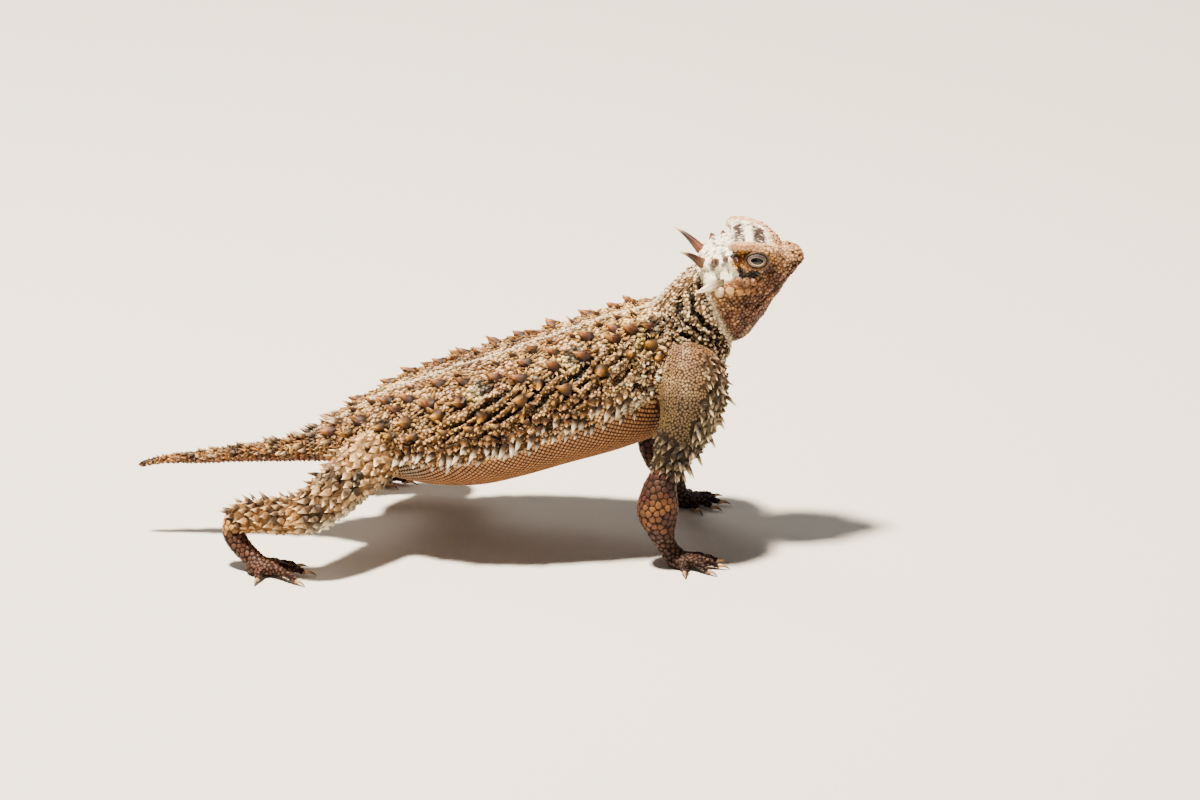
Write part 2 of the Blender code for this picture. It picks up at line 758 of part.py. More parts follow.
def cut_mouth(cutters):
    """A shallow groove along the lips, swept as a thin strip."""
    rings = []
    path = [head_point(*p) for p in mouth_path()]
    centre = head_point(MOUTH_CORNER[0], 0, MOUTH_CORNER[1])
    lip_slope = math.radians(HEAD_PITCH) + math.atan2(
        MOUTH_TIP[1] - MOUTH_CORNER[1], MOUTH_TIP[0] - MOUTH_CORNER[0]
    )
    up = Vector((-math.sin(lip_slope), 0, math.cos(lip_slope)))
    for point, ahead, _, _ in turned_frames(path):
        outward = ahead.cross(up).normalized()
        if outward.dot(point - centre) < 0:
            outward.negate()
        inner = point - outward * MOUTH_DEPTH
        outer = point + outward * MOUTH_DEPTH
        half = up * MOUTH_HEIGHT / 2
        rings.append([inner, outer + half, outer - half])
    loft("mouth", rings, cutters)


def cut_nostrils(cutters):
    for sign in SIDE_OUT.values():
        centre = head_point(NOSTRIL_H, sign * NOSTRIL_OUT, NOSTRIL_K)
        ball("nostril", centre, NOSTRIL_RADIUS, NOSTRIL_SIDES, cutters)


def build_head(parts, additions, cutters, looks):
    head = skull_core(parts)
    for sign in SIDE_OUT.values():
        tube("brow", ridge_rows(BROW, sign), RIDGE_SIDES, additions)
        tube("shelf", ridge_rows(SHELF, sign), RIDGE_SIDES, additions)
    add_lids(additions)
    add_bosses(additions)
    add_head_spikes(additions)
    apply_boolean(head, "UNION", additions)
    cut_eyes(cutters)
    cut_seats(cutters)
    cut_mouth(cutters)
    cut_nostrils(cutters)
    apply_boolean(head, "DIFFERENCE", cutters)
    finish_node(head, "head", looks["head"])


def build_eyes(parts, looks):
    for side in SIDE_OUT:
        eye = ball("eye", eye_centre(side), EYE_RADIUS, EYE_SIDES, parts)
        finish_node(eye, "eye_" + side, looks["eye"])


def build_horns(parts, looks):
    """Bowed horns, each with its first ring square to its axis to lie flat on its boss."""
    turns = [2 * math.pi * i / HORN_SIDES for i in range(HORN_SIDES)]
    for horn in HORNS:
        for side in SIDE_OUT:
            base, ahead, length, radius = horn_axis(horn, side)
            across = ahead.orthogonal()
            second = ahead.cross(across)
            rings = []
            for share in HORN_STATIONS:
                rise = HORN_BOW * length * math.sin(math.pi * share)
                centre = base + ahead * (GAP + length * share) + UP * rise
                size = radius * (1 - HORN_TAPER * share)
                rings.append([centre + (across * math.cos(t) + second * math.sin(t)) * size for t in turns])
            finish_node(loft("horn", rings, parts), horn[0] + "_" + side, looks["horn"])


def beyond(here, inner):
    """A row past a joint, along the bone that ends there."""
    point = Vector(here[:3])
    ahead = (point - Vector(inner[:3])).normalized()
    return (*(point + ahead * here[3] * JOINT_REACH), here[3] * JOINT_TAPER)


def seam_plane(path, seam):
    """The plane halfway between the two bones that meet at a joint."""
    before, here, after = (Vector(path[i][:3]) for i in (seam - 1, seam, seam + 1))
    return here, ((here - before).normalized() + (after - here).normalized()).normalized()


def trim(obj, point, normal):
    """Cuts away what lies on the normal's side of a plane and closes the cut."""
    bm = bmesh.new()
    bm.from_mesh(obj.data)
    geometry = bm.verts[:] + bm.edges[:] + bm.faces[:]
    cut = bmesh.ops.bisect_plane(
        bm, geom=geometry, dist=PLANE_MARGIN, plane_co=point * MM, plane_no=normal, clear_outer=True
    )
    rim = [item for item in cut["geom_cut"] if isinstance(item, bmesh.types.BMEdge)]
    bmesh.ops.contextual_create(bm, geom=rim)
    bmesh.ops.recalc_face_normals(bm, faces=bm.faces)
    bm.to_mesh(obj.data)
    bm.free()


def limb_segment(name, path, start, end, collection):
    """One bone's length of a limb, parted from the next along the joint's plane."""
    rows = list(path[start:end + 1])
    last = len(path) - 1
    if start > 0:
        rows.insert(0, beyond(path[start], path[start + 1]))
    if end < last:
        rows.append(beyond(path[end], path[end - 1]))
    samples = [blend(rows, at) for at in spread(0, len(rows) - 1, 2 * len(rows) - 1)]
    obj = tube(name, samples, LIMB_SIDES, collection)
    if start > 0:
        point, normal = seam_plane(path, start)
        trim(obj, point + normal * GAP / 2, -normal)
    if end < last:
        point, normal = seam_plane(path, end)
        trim(obj, point - normal * GAP / 2, normal)
    return obj


def add_sole(limb, path, additions):
    """A flattened pad under the wrist or the ankle, turned toward the middle toe."""
    x, y = path[-1][:2]
    long, wide, thick = SOLE_SIZE[limb.split("_")[1]]
    ahead = Vector(TOES[limb][2]) - Vector((x, y))
    place = Matrix.Translation((x, y, thick * SOLE_RISE))
    turn = Matrix.Rotation(math.atan2(ahead.y, ahead.x), 4, "Z")
    bm = bmesh.new()
    bmesh.ops.create_uvsphere(bm, u_segments=SOLE_SIDES[0], v_segments=SOLE_SIDES[1], radius=1)
    bmesh.ops.scale(bm, vec=(long, wide, thick), verts=bm.verts)
    bmesh.ops.transform(bm, matrix=place @ turn, verts=bm.verts)
    mesh_object("sole", bm, additions)


def add_toes(limb, path, additions):
    centre = Vector((path[-1][0], path[-1][1], 0))
    for x, y in TOES[limb]:
        reach = Vector((x, y, 0)) - centre
        ahead = reach.normalized()
        pad = reach - ahead * CLAW_LENGTH * (1 - CLAW_BEYOND_TOE)
        rows = []
        for share in TOE_STATIONS:
            radius = TOE_ROOT_RADIUS + (TOE_TIP_RADIUS - TOE_ROOT_RADIUS) * share
            height = radius * TOE_RISE + TOE_ARCH * math.sin(math.pi * share)
            point = centre + pad * share
            rows.append((point.x, point.y, height, radius))
        tube("toe", rows, TOE_SIDES, additions)
        root = Vector(rows[-1][:3]) - ahead * CLAW_OVERLAP + UP * CLAW_TILT
        tip = centre + reach + ahead * CLAW_LENGTH * CLAW_BEYOND_TOE + UP * CLAW_TILT
        cone("claw", root, tip, (CLAW_RADIUS, 0), SPINE_SIDES, additions)


def cut_floor(cutters):
    bm = bmesh.new()
    bmesh.ops.create_cube(bm, size=1)
    bmesh.ops.scale(bm, vec=(FLOOR_WIDTH, FLOOR_WIDTH, FLOOR_DEPTH), verts=bm.verts)
    bmesh.ops.translate(bm, vec=(0, 0, -FLOOR_DEPTH / 2), verts=bm.verts)
    mesh_object("floor", bm, cutters)


def between_joints(point, path, first, last):
    """True where a point keeps clear of the planes that part a segment from the next ones."""
    for seam, sign in ((first, -1), (last, 1)):
        if 0 < seam < len(path) - 1:
            joint, normal = seam_plane(path, seam)
            if (point - joint).dot(normal) * sign > -JOINT_CLEAR:
                return False
    return True


def limb_surface(path, at, facing):
    """Centre line point, direction along the limb, facing side square to it, and radius."""
    x, y, z, radius = blend(path, at)
    ahead = Vector(blend(path, at + LIMB_STEP)[:3]) - Vector(blend(path, at - LIMB_STEP)[:3])
    ahead.normalize()
    side = Vector(facing)
    side = (side - ahead * side.dot(ahead)).normalized()
    return Vector((x, y, z)), ahead, side, radius


def add_limb_spines(limb, path, first, last, additions):
    kind = limb.split("_")[1]
    for part, start, end, count, turns, facing, length, radius, lean in LIMB_SPINES:
        if part != kind or not first <= start < last:
            continue
        for step, at in enumerate(spread(start, end, count)):
            centre, ahead, side, thick = limb_surface(path, at, facing)
            stagger = (turns[1] - turns[0]) * (LIMB_STAGGER if step % 2 else -LIMB_STAGGER)
            for turn in turns:
                angle = math.radians(turn + stagger + jitter(JITTER_ANGLE))
                out = Matrix.Rotation(angle, 3, ahead) @ side
                here = centre + out * thick * LIMB_SURFACE
                size = 1 + jitter(JITTER_SIZE)
                tall = length * size
                direction = lean_over(out, ahead, lean)
                tip = here + direction * tall
                corners = (here - ahead * radius, here + ahead * radius, tip)
                if not all(between_joints(corner, path, first, last) for corner in corners):
                    continue
                if inside_trunk(tip, TRUNK_CLEAR) or inside_trunk(here, TRUNK_CLEAR):
                    continue
                spine(here, direction, tall, radius * size, SPINE_SIDES, additions, LIMB_SPINE_FLAT, out)


def build_limbs(parts, additions, cutters, looks):
    joint, ankle = LIMB_SEAMS
    for limb, path in LIMBS.items():
        side, kind = limb.split("_")
        names = [side + "_" + name for name in LIMB_NODES[kind]]
        upper = limb_segment(names[0], path, 0, joint, parts)
        trunk_length("body", BODY_FROM, NAPE, BODY_RINGS, TRUNK_SIDES, cutters, GAP, (False, False))
        apply_boolean(upper, "DIFFERENCE", cutters)
        add_limb_spines(limb, path, 0, joint, additions)
        apply_boolean(upper, "UNION", additions)
        finish_node(upper, names[0], looks["limb"])
        lower = limb_segment(names[1], path, joint, ankle, parts)
        add_limb_spines(limb, path, joint, ankle, additions)
        if additions.objects:
            apply_boolean(lower, "UNION", additions)
        finish_node(lower, names[1], looks["limb"])
        end = limb_segment(names[2], path, ankle, len(path) - 1, parts)
        add_sole(limb, path, additions)
        add_toes(limb, path, additions)
        apply_boolean(end, "UNION", additions)
        cut_floor(cutters)
        apply_boolean(end, "DIFFERENCE", cutters)
        finish_node(end, names[2], looks["limb"])


def centre_on_floor(parts):
    """Puts the origin under the middle of the whole animal, on the floor."""
    corners = [v.co for obj in parts.objects for v in obj.data.vertices]
    middle = [(min(c[i] for c in corners) + max(c[i] for c in corners)) / 2 for i in range(2)]
    lowest = min(c[2] for c in corners)
    for obj in parts.objects:
        obj.data.transform(Matrix.Translation((-middle[0], -middle[1], -lowest)))


def main():
    random.seed(SEED)
    clear_scene()
    parts, additions, cutters = make_collections()
    looks = make_looks()
    build_trunk(parts, additions, looks)
    build_head(parts, additions, cutters, looks)
    build_eyes(parts, looks)
    build_horns(parts, looks)
    build_limbs(parts, additions, cutters, looks)
    centre_on_floor(parts)


main()
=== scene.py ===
# Texas horned lizard at life size: one skin, its scales, spines, fringe, lids, horns and claws.
import math
import bpy
import numpy as np
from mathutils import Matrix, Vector
from mathutils.bvhtree import BVHTree
from mathutils.kdtree import KDTree


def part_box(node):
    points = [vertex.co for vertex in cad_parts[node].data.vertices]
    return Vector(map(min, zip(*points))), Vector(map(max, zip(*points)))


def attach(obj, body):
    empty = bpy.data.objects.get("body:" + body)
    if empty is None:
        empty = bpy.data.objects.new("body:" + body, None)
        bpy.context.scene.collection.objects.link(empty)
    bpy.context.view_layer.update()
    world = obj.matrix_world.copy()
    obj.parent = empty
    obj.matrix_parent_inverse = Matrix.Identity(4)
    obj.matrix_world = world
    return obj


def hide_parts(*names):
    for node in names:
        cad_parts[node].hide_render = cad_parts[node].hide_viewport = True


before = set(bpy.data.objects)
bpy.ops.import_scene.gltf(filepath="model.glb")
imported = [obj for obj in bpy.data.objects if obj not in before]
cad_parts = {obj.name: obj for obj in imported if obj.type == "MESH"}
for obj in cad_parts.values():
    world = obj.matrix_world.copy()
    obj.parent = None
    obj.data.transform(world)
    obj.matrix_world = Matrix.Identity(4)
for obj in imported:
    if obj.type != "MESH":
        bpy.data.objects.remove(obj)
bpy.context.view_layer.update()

mm = 0.001
rng = np.random.default_rng(11)
bpy.ops.object.select_all(action="DESELECT")

# Body forms in millimetres and degrees, head toward +X, the animal's right side toward -Y.
# Trunk rows: place along X, height, half width, half height, pitch of the section
bodyForm = {
    "trunk": [
        (-60.3, 12.8, 0.5, 0.5, 14), (-56.1, 13.9, 1.0, 0.8, 8), (-48.9, 14.4, 1.5, 1.2, 5),
        (-41.6, 15.1, 2.0, 1.6, 5), (-36.2, 15.5, 2.5, 1.9, 5), (-30.8, 16.1, 3.3, 2.4, 8),
        (-26.2, 17.2, 5.2, 3.4, 12), (-22.6, 17.9, 7.6, 4.7, 11), (-18.1, 18.7, 10.5, 6.5, 10),
        (-12.7, 19.5, 14.0, 8.5, 9), (-7.2, 20.1, 17.0, 9.8, 10), (0.0, 21.4, 19.0, 11.0, 12),
        (7.2, 23.3, 19.3, 11.3, 15), (14.5, 25.6, 18.3, 11.6, 17), (23.5, 28.3, 16.5, 12.0, 18),
        (30.8, 31.0, 14.0, 12.0, 20), (35.6, 33.4, 11.6, 10.8, 26), (38.7, 36.7, 9.2, 9.4, 38),
        (41.2, 40.5, 7.9, 8.3, 46), (44.0, 44.0, 8.0, 7.8, 24),
    ],
    "backPower": 2.3, "bellyPower": 2.05, "nape": 19.0,
    "skinDepth": 0.38, "voxel": 0.415, "smoothing": 5,
}
# Head rows: h forward along the skull, lowest k, highest k, half width
headForm = {
    "origin": (44.0, 0.0, 44.0), "pitch": 22.0, "roll": 3.0,
    "rows": [
        (0.15, -7.9, 7.8, 8.1), (1.3, -8.2, 8.8, 9.3), (3.3, -7.9, 9.6, 9.8), (5.4, -6.9, 9.9, 9.5),
        (7.5, -5.6, 10.0, 8.8), (9.5, -4.1, 9.5, 7.9), (11.0, -3.1, 8.9, 7.1), (12.4, -2.1, 8.0, 6.2),
        (13.6, -1.4, 7.0, 5.3), (14.8, -0.6, 5.9, 4.5), (16.0, -0.1, 5.5, 3.9), (17.0, 0.3, 5.1, 3.3),
        (17.9, 0.7, 4.4, 2.5), (18.3, 1.2, 3.7, 1.6),
    ],
    "brow": [(15.2, 4.7, 3.2, 0.7), (13.4, 7.6, 5.2, 0.85), (11.4, 9.3, 6.2, 0.95), (9.3, 10.4, 6.7, 1.05),
             (7.9, 10.9, 6.4, 1.0)],
    "shelf": [(8.0, 8.6, 6.4, 1.0), (6.0, 8.1, 6.4, 1.1), (4.2, 8.1, 6.0, 1.2), (2.6, 8.3, 4.9, 1.2),
              (1.8, 8.6, 3.0, 1.2)],
    "mouth": ((7.0, -1.5), (18.3, 1.4)), "nostril": (17.2, 2.2, 4.0),
}
# Limb rows: x, y, z, radius from inside the body to the middle of the sole
limbForm = {
    "right_arm": [
        (37.4, -5.0, 34.2, 5.8), (40.2, -10.4, 32.0, 6.4), (39.4, -14.3, 26.6, 5.5), (36.6, -16.6, 20.4, 3.7),
        (35.2, -17.2, 17.2, 2.75), (34.2, -17.8, 13.6, 3.5), (33.9, -18.1, 10.2, 4.0),
        (34.4, -18.2, 7.2, 3.1), (35.1, -18.2, 4.6, 2.15), (36.2, -18.5, 2.7, 2.0), (38.2, -19.2, 1.5, 1.6),
    ],
    "left_arm": [
        (37.0, 5.0, 34.0, 5.6), (39.2, 10.4, 31.4, 6.1), (37.3, 13.6, 25.4, 5.2), (34.2, 14.2, 18.8, 3.7),
        (32.8, 14.2, 15.4, 2.8), (33.6, 14.4, 12.2, 3.4), (35.4, 14.2, 9.2, 3.7), (36.4, 14.0, 6.6, 2.9),
        (37.2, 14.0, 4.5, 2.15), (37.9, 14.4, 2.7, 2.0), (39.2, 15.2, 1.5, 1.6),
    ],
    "right_leg": [
        (-13.0, -3.0, 18.6, 5.2), (-17.0, -9.0, 17.4, 5.2), (-21.8, -16.4, 15.7, 4.7),
        (-26.0, -22.2, 13.2, 4.2), (-28.6, -24.2, 11.8, 3.7), (-32.4, -23.0, 11.0, 3.4),
        (-37.2, -20.6, 10.1, 3.15), (-40.9, -18.9, 9.1, 2.75), (-42.6, -18.4, 7.2, 2.3),
        (-41.8, -19.4, 4.8, 2.1), (-39.0, -21.6, 2.4, 1.9), (-37.0, -23.2, 1.5, 1.6),
    ],
    "left_leg": [
        (-13.0, 3.0, 18.6, 5.2), (-15.2, 9.4, 17.4, 5.2), (-11.4, 15.8, 16.2, 4.7), (-7.6, 20.8, 14.4, 4.2),
        (-6.2, 23.6, 12.6, 3.7), (-9.4, 24.6, 11.4, 3.4), (-14.6, 24.0, 9.8, 3.1), (-19.4, 22.8, 8.8, 2.6),
        (-22.2, 22.8, 7.3, 2.2), (-22.6, 24.2, 4.8, 2.0), (-20.8, 27.0, 2.6, 1.9), (-18.8, 29.0, 1.5, 1.6),
    ],
}
footForm = {
    "toes": {
        "right_arm": [(43.6, -14.6), (46.2, -17.6), (46.4, -21.2), (44.2, -25.0), (38.8, -26.2)],
        "left_arm": [(42.0, 9.6), (45.4, 11.8), (47.0, 15.4), (45.6, 19.8), (40.4, 22.2)],
        "right_leg": [(-33.4, -17.6), (-29.6, -20.2), (-28.0, -24.6), (-29.8, -30.6), (-38.4, -30.0)],
        "left_leg": [(-14.0, 24.4), (-10.6, 26.8), (-9.6, 31.2), (-12.4, 36.2), (-20.4, 35.6)],
    },
    "sole": {"arm": (2.9, 2.6, 1.5), "leg": (3.3, 2.7, 1.6)},
    "toeRadius": (1.1, 0.62), "toeArch": 0.75, "clawLength": 2.0, "clawRadius": 0.42, "clawBeyond": 0.3,
    "clawRoot": "#b08a62", "clawTip": "#5a3a28",
}
facing = {"right_arm": (1, 0, 0.2), "left_arm": (1, 0, 0.2), "right_leg": (0, 0, 1), "left_leg": (0, 0, 1)}
limbNames = list(limbForm)
fleshNodes = ["tail_tip", "tail_mid", "tail_base", "torso", "neck", "head"] + [
    side + "_" + part for side in ("right", "left")
    for part in ("upper_arm", "forearm", "hand", "thigh", "shank", "foot")]


def linearColour(text):
    # sRGB hex to linear light
    values = np.array([int(text[i:i + 2], 16) / 255 for i in (1, 3, 5)])
    return np.where(values <= 0.04045, values / 12.92, ((values + 0.055) / 1.055) ** 2.4)


def step(value, start, end):
    # Eases from 0 at the start to 1 at the end
    t = np.clip((value - start) / (end - start), 0, 1)
    return t * t * (3 - 2 * t)


def near(value, middle, width):
    return np.exp(-((value - middle) / width) ** 2)


def signedPower(value, power):
    return np.sign(value) * np.abs(value) ** power


def unit(vectors):
    return vectors / np.maximum(np.linalg.norm(vectors, axis=-1, keepdims=True), 1e-9)


def alongSkin(vectors, normals):
    # The direction of each vector once it is laid on the skin
    return unit(vectors - normals * np.einsum("ij,ij->i", vectors, normals)[:, None])


def blendRows(rows, at):
    # Smooth values at fractional places along a list of rows
    rows = np.asarray(rows, float)
    at = np.atleast_1d(np.asarray(at, float))
    last = len(rows) - 1
    first = np.clip(at.astype(int), 0, last - 1)
    t = (at - first)[:, None]
    a, b, c, d = (rows[np.clip(first + i, 0, last)] for i in (-1, 0, 1, 2))
    return 0.5 * (2 * b + (c - a) * t + (2 * a - 5 * b + 4 * c - d) * t ** 2
                  + (3 * b - a - 3 * c + d) * t ** 3)


noiseForm = {"mix": (12.9898, 78.233, 37.719), "spread": 43758.5453, "seedShift": 17.31}


def mottle(points, size, seed=0):
    # Smooth random values from -1 to 1 that change over the given millimetres
    q = points / size + seed * noiseForm["seedShift"]
    cell = np.floor(q)
    f = q - cell
    f = f * f * (3 - 2 * f)
    total = np.zeros(len(points))
    for corner in np.ndindex(2, 2, 2):
        value = np.sin((cell + corner) @ np.array(noiseForm["mix"])) * noiseForm["spread"]
        weight = np.prod(np.where(np.array(corner), f, 1 - f), axis=1)
        total += (value - np.floor(value)) * weight
    return total * 2 - 1


# The trunk, the head and the limbs as functions of their own coordinates
def trunkFrames(at):
    x, z, halfWidth, halfHeight, pitch = blendRows(bodyForm["trunk"], at).T
    turn = np.radians(pitch)
    none = np.zeros_like(x)
    centre = np.stack([x, none, z], 1)
    ahead = np.stack([np.cos(turn), none, np.sin(turn)], 1)
    up = np.stack([-np.sin(turn), none, np.cos(turn)], 1)
    return centre, ahead, up, halfWidth, halfHeight


def roundSection(angle, topPower, lowPower):
    # Outward and upward shares of a rounded section, angle in radians from the left side
    power = np.where(np.sin(angle) > 0, topPower, lowPower)
    return signedPower(np.cos(angle), 2 / power), signedPower(np.sin(angle), 2 / power)


def trunkPoint(at, degrees, grow=0.0):
    at, degrees = np.broadcast_arrays(np.atleast_1d(at).astype(float), np.atleast_1d(degrees).astype(float))
    centre, ahead, up, halfWidth, halfHeight = trunkFrames(at)
    out, rise = roundSection(np.radians(degrees), bodyForm["backPower"], bodyForm["bellyPower"])
    across = np.zeros_like(centre)
    across[:, 1] = out * (halfWidth + grow)
    return centre + across + up * (rise * (halfHeight + grow))[:, None]


trunkStations = np.linspace(0, bodyForm["nape"], 381)
stationFrames = trunkFrames(trunkStations)
stationLength = np.concatenate([[0], np.cumsum(np.linalg.norm(np.diff(stationFrames[0], axis=0), axis=1))])
stationGirth = (stationFrames[3] + stationFrames[4]) * 0.79  # a quarter of the way round


def placeAtX(x):
    return np.interp(x, stationFrames[0][:, 0], trunkStations)


def girthAtX(x):
    return np.interp(placeAtX(x), trunkStations, stationGirth)


def headPoint(h, out, k):
    h, out, k = np.broadcast_arrays(*(np.atleast_1d(v).astype(float) for v in (h, out, k)))
    pitch, roll = math.radians(headForm["pitch"]), math.radians(headForm["roll"])
    rise = k * math.cos(roll) + out * math.sin(roll)
    return np.array(headForm["origin"]) + np.stack([
        h * math.cos(pitch) - rise * math.sin(pitch),
        out * math.cos(roll) - k * math.sin(roll),
        h * math.sin(pitch) + rise * math.cos(pitch)], 1)


def headCoordinates(points):
    away = points - np.array(headForm["origin"])
    pitch, roll = math.radians(headForm["pitch"]), math.radians(headForm["roll"])
    h = away[:, 0] * math.cos(pitch) + away[:, 2] * math.sin(pitch)
    rise = away[:, 2] * math.cos(pitch) - away[:, 0] * math.sin(pitch)
    out = away[:, 1] * math.cos(roll) + rise * math.sin(roll)
    k = rise * math.cos(roll) - away[:, 1] * math.sin(roll)
    return h, out, k


def headSection(h):
    rows = np.array(headForm["rows"])
    at = np.interp(h, rows[:, 0], np.arange(len(rows)))
    _, low, high, halfWidth = blendRows(rows, at).T
    crown = 2.2 + 0.8 * np.clip((h - 4) / 4, 0, 1)
    return (low + high) / 2, (high - low) / 2, halfWidth, crown


def browEdge(h):
    # Height and reach of the brow ridge above a place along the skull
    rows = np.array(headForm["brow"])[::-1]
    return np.interp(h, rows[:, 0], rows[:, 1]), np.interp(h, rows[:, 0], rows[:, 2])


def mouthHeight(h):
    (h0, k0), (h1, k1) = headForm["mouth"]
    return k0 + (h - h0) / (h1 - h0) * (k1 - k0)


def nostrilGap(h, out, k):
    nh, nOut, nk = headForm["nostril"]
    return np.sqrt((h - nh) ** 2 + (out - nOut) ** 2 + (k - nk) ** 2)


def limbSamples(limb):
    # Centres, radii, places and directions along a limb, its sole and its toes
    path = limbForm[limb]
    at = np.arange(0, len(path) - 1 + 0.01, 0.08)
    rows = blendRows(path, at)
    centres, radii, places = [rows[:, :3]], [rows[:, 3]], [at]
    directions = [unit(np.gradient(rows[:, :3], axis=0))]
    for toe, rows in enumerate(toeRows(limb)):
        share = np.linspace(0, 1, 22)
        rows = blendRows(rows, share * (len(rows) - 1))
        centres.append(rows[:, :3])
        radii.append(rows[:, 3])
        places.append(20 + toe + share * 0.99)
        directions.append(unit(np.gradient(rows[:, :3], axis=0)))
    return tuple(np.concatenate(v) for v in (centres, radii, places, directions))


def toeRows(limb):
    x, y = limbForm[limb][-1][:2]
    centre = np.array([x, y, 0.0])
    root, tip = footForm["toeRadius"]
    toes = []
    for toeX, toeY in footForm["toes"][limb]:
        reach = np.array([toeX, toeY, 0.0]) - centre
        pad = reach - unit(reach) * footForm["clawLength"] * (1 - footForm["clawBeyond"])
        rows = []
        for share in (0.12, 0.34, 0.56, 0.78, 1.0):
            radius = root + (tip - root) * share
            radius *= 1 + 0.1 * math.cos(share * 15)
            height = radius * 0.9 + footForm["toeArch"] * math.sin(math.pi * share)
            point = centre + pad * share
            rows.append((point[0], point[1], height, radius))
        toes.append(rows)
    return toes


limbTracks = {limb: limbSamples(limb) for limb in limbNames}


def locate(points):
    # Where points lie: the nearest form, and the coordinates on the trunk, head and limbs
    count = len(points)
    centre, ahead, up, halfWidth, halfHeight = stationFrames
    found = {"at": np.zeros(count), "degrees": np.zeros(count), "girth": np.zeros(count)}
    away = np.full((6, count), 99.0)
    for start in range(0, count, 8000):
        part = slice(start, start + 8000)
        gap = points[part, None, :] - centre[None]
        level = np.abs(np.einsum("pik,ik->pi", gap, ahead)) + 0.03 * np.linalg.norm(gap, axis=2)
        best = np.argmin(level, 1)
        rel = points[part] - centre[best]
        rise = np.einsum("pk,pk->p", rel, up[best])
        beyond = np.abs(np.einsum("pk,pk->p", rel, ahead[best]))
        side = rel[:, 1] / halfWidth[best]
        lift = rise / halfHeight[best]
        power = np.where(lift > 0, bodyForm["backPower"], bodyForm["bellyPower"])
        reach = (np.abs(side) ** power + np.abs(lift) ** power) ** (1 / power)
        spread = np.hypot(rel[:, 1], rise)
        away[0, part] = spread * (1 - 1 / np.maximum(reach, 1e-6)) + beyond
        found["at"][part] = trunkStations[best]
        found["degrees"][part] = np.degrees(np.arctan2(signedPower(lift, power / 2),
                                                       np.abs(side) ** (power / 2)))
        found["girth"][part] = stationGirth[best]
    h, out, k = headCoordinates(points)
    middle, halfTall, halfWide, crown = headSection(h)
    side, lift = out / halfWide, (k - middle) / halfTall
    power = np.where(lift > 0, crown, 2.1)
    reach = (np.abs(side) ** power + np.abs(lift) ** power) ** (1 / power)
    beyond = np.maximum(0.15 - h, 0) + np.maximum(h - 18.3, 0)
    away[1] = np.hypot(out, k - middle) * (1 - 1 / np.maximum(reach, 1e-6)) + beyond
    for name in ("brow", "shelf"):
        rows = blendRows(headForm[name], np.linspace(0, 4, 25))
        for sign in (1, -1):
            tube = headPoint(rows[:, 0], sign * rows[:, 2], rows[:, 1])
            close = np.linalg.norm(points[:, None] - tube[None], axis=2) - rows[None, :, 3]
            away[1] = np.minimum(away[1], close.min(1))
    found.update(h=h, out=out, k=k)
    found["headTurn"] = np.degrees(np.arctan2(k - middle, out))
    for index, limb in enumerate(limbNames):
        track, radii, places, directions = limbTracks[limb]
        inside = np.all((points > track.min(0) - 9) & (points < track.max(0) + 9), axis=1)
        which = np.nonzero(inside)[0]
        found[limb] = np.zeros(count)
        found[limb + "_turn"] = np.zeros(count)
        for start in range(0, len(which), 8000):
            part = which[start:start + 8000]
            gap = points[part, None, :] - track[None]
            reach = np.linalg.norm(gap, axis=2) - radii[None]
            best = np.argmin(reach, 1)
            away[2 + index, part] = reach[np.arange(len(part)), best]
            found[limb][part] = places[best]
            front = np.array(facing[limb], float)
            front = unit(front - directions[best] * (directions[best] @ front)[:, None])
            third = np.cross(directions[best], front)
            rel = points[part] - track[best]
            found[limb + "_turn"][part] = np.degrees(np.arctan2(
                np.einsum("pk,pk->p", rel, third), np.einsum("pk,pk->p", rel, front)))
    found["region"] = np.argmin(away, 0)
    share = np.exp(-(away - away.min(0)) / 0.45)
    found["share"] = share / share.sum(0)
    found["away"] = away.min(0)
    found["x"] = np.interp(found["at"], trunkStations, centre[:, 0])
    found["length"] = np.interp(found["at"], trunkStations, stationLength)
    found["point"] = points
    found["arc"] = found["degrees"] / 90 * found["girth"]
    found["flat"] = np.stack([found["length"], found["arc"], np.where(points[:, 1] > 0, 40.0, 0.0)], 1)
    return found


def bakePlace(found):
    # Each root's place on the unwrap: the trunk above, the head and the limbs below it
    u = np.zeros(len(found["at"]))
    v = np.zeros(len(found["at"]))
    region = found["region"]
    side = np.where(found["point"][:, 1] > 0, 1, -1)
    body = region == 0
    u[body] = 0.03 + 0.94 * found["at"][body] / bodyForm["nape"]
    turn = np.where(side > 0, (found["degrees"] + 90) / 360, 0.5 + (90 - found["degrees"]) / 360)
    v[body] = 0.52 + 0.45 * turn[body]
    head = region == 1
    u[head] = 0.03 + 0.44 * np.clip((found["h"][head] + 2) / 22, 0, 1)
    v[head] = 0.27 + 0.21 * (found["headTurn"][head] + 180) / 360
    for index, limb in enumerate(limbNames):
        mine = region == 2 + index
        at = found[limb][mine]
        along = np.where(at < 20, at / 12 * 0.62, 0.64 + (at - 20) * 0.07)
        u[mine] = 0.02 + 0.245 * index + 0.225 * along
        v[mine] = 0.02 + 0.21 * (found[limb + "_turn"][mine] + 180) / 360
    return np.stack([u, v], 1)


# Colours of the markings, which the skin and its scales share
def deepened(text, saturation=1.35, level=0.8):
    # A little richer and darker, because bare studio light washes dry skin out
    colour = linearColour(text)
    grey = colour.mean()
    return np.clip((grey + (colour - grey) * saturation) * level, 0.002, 1)


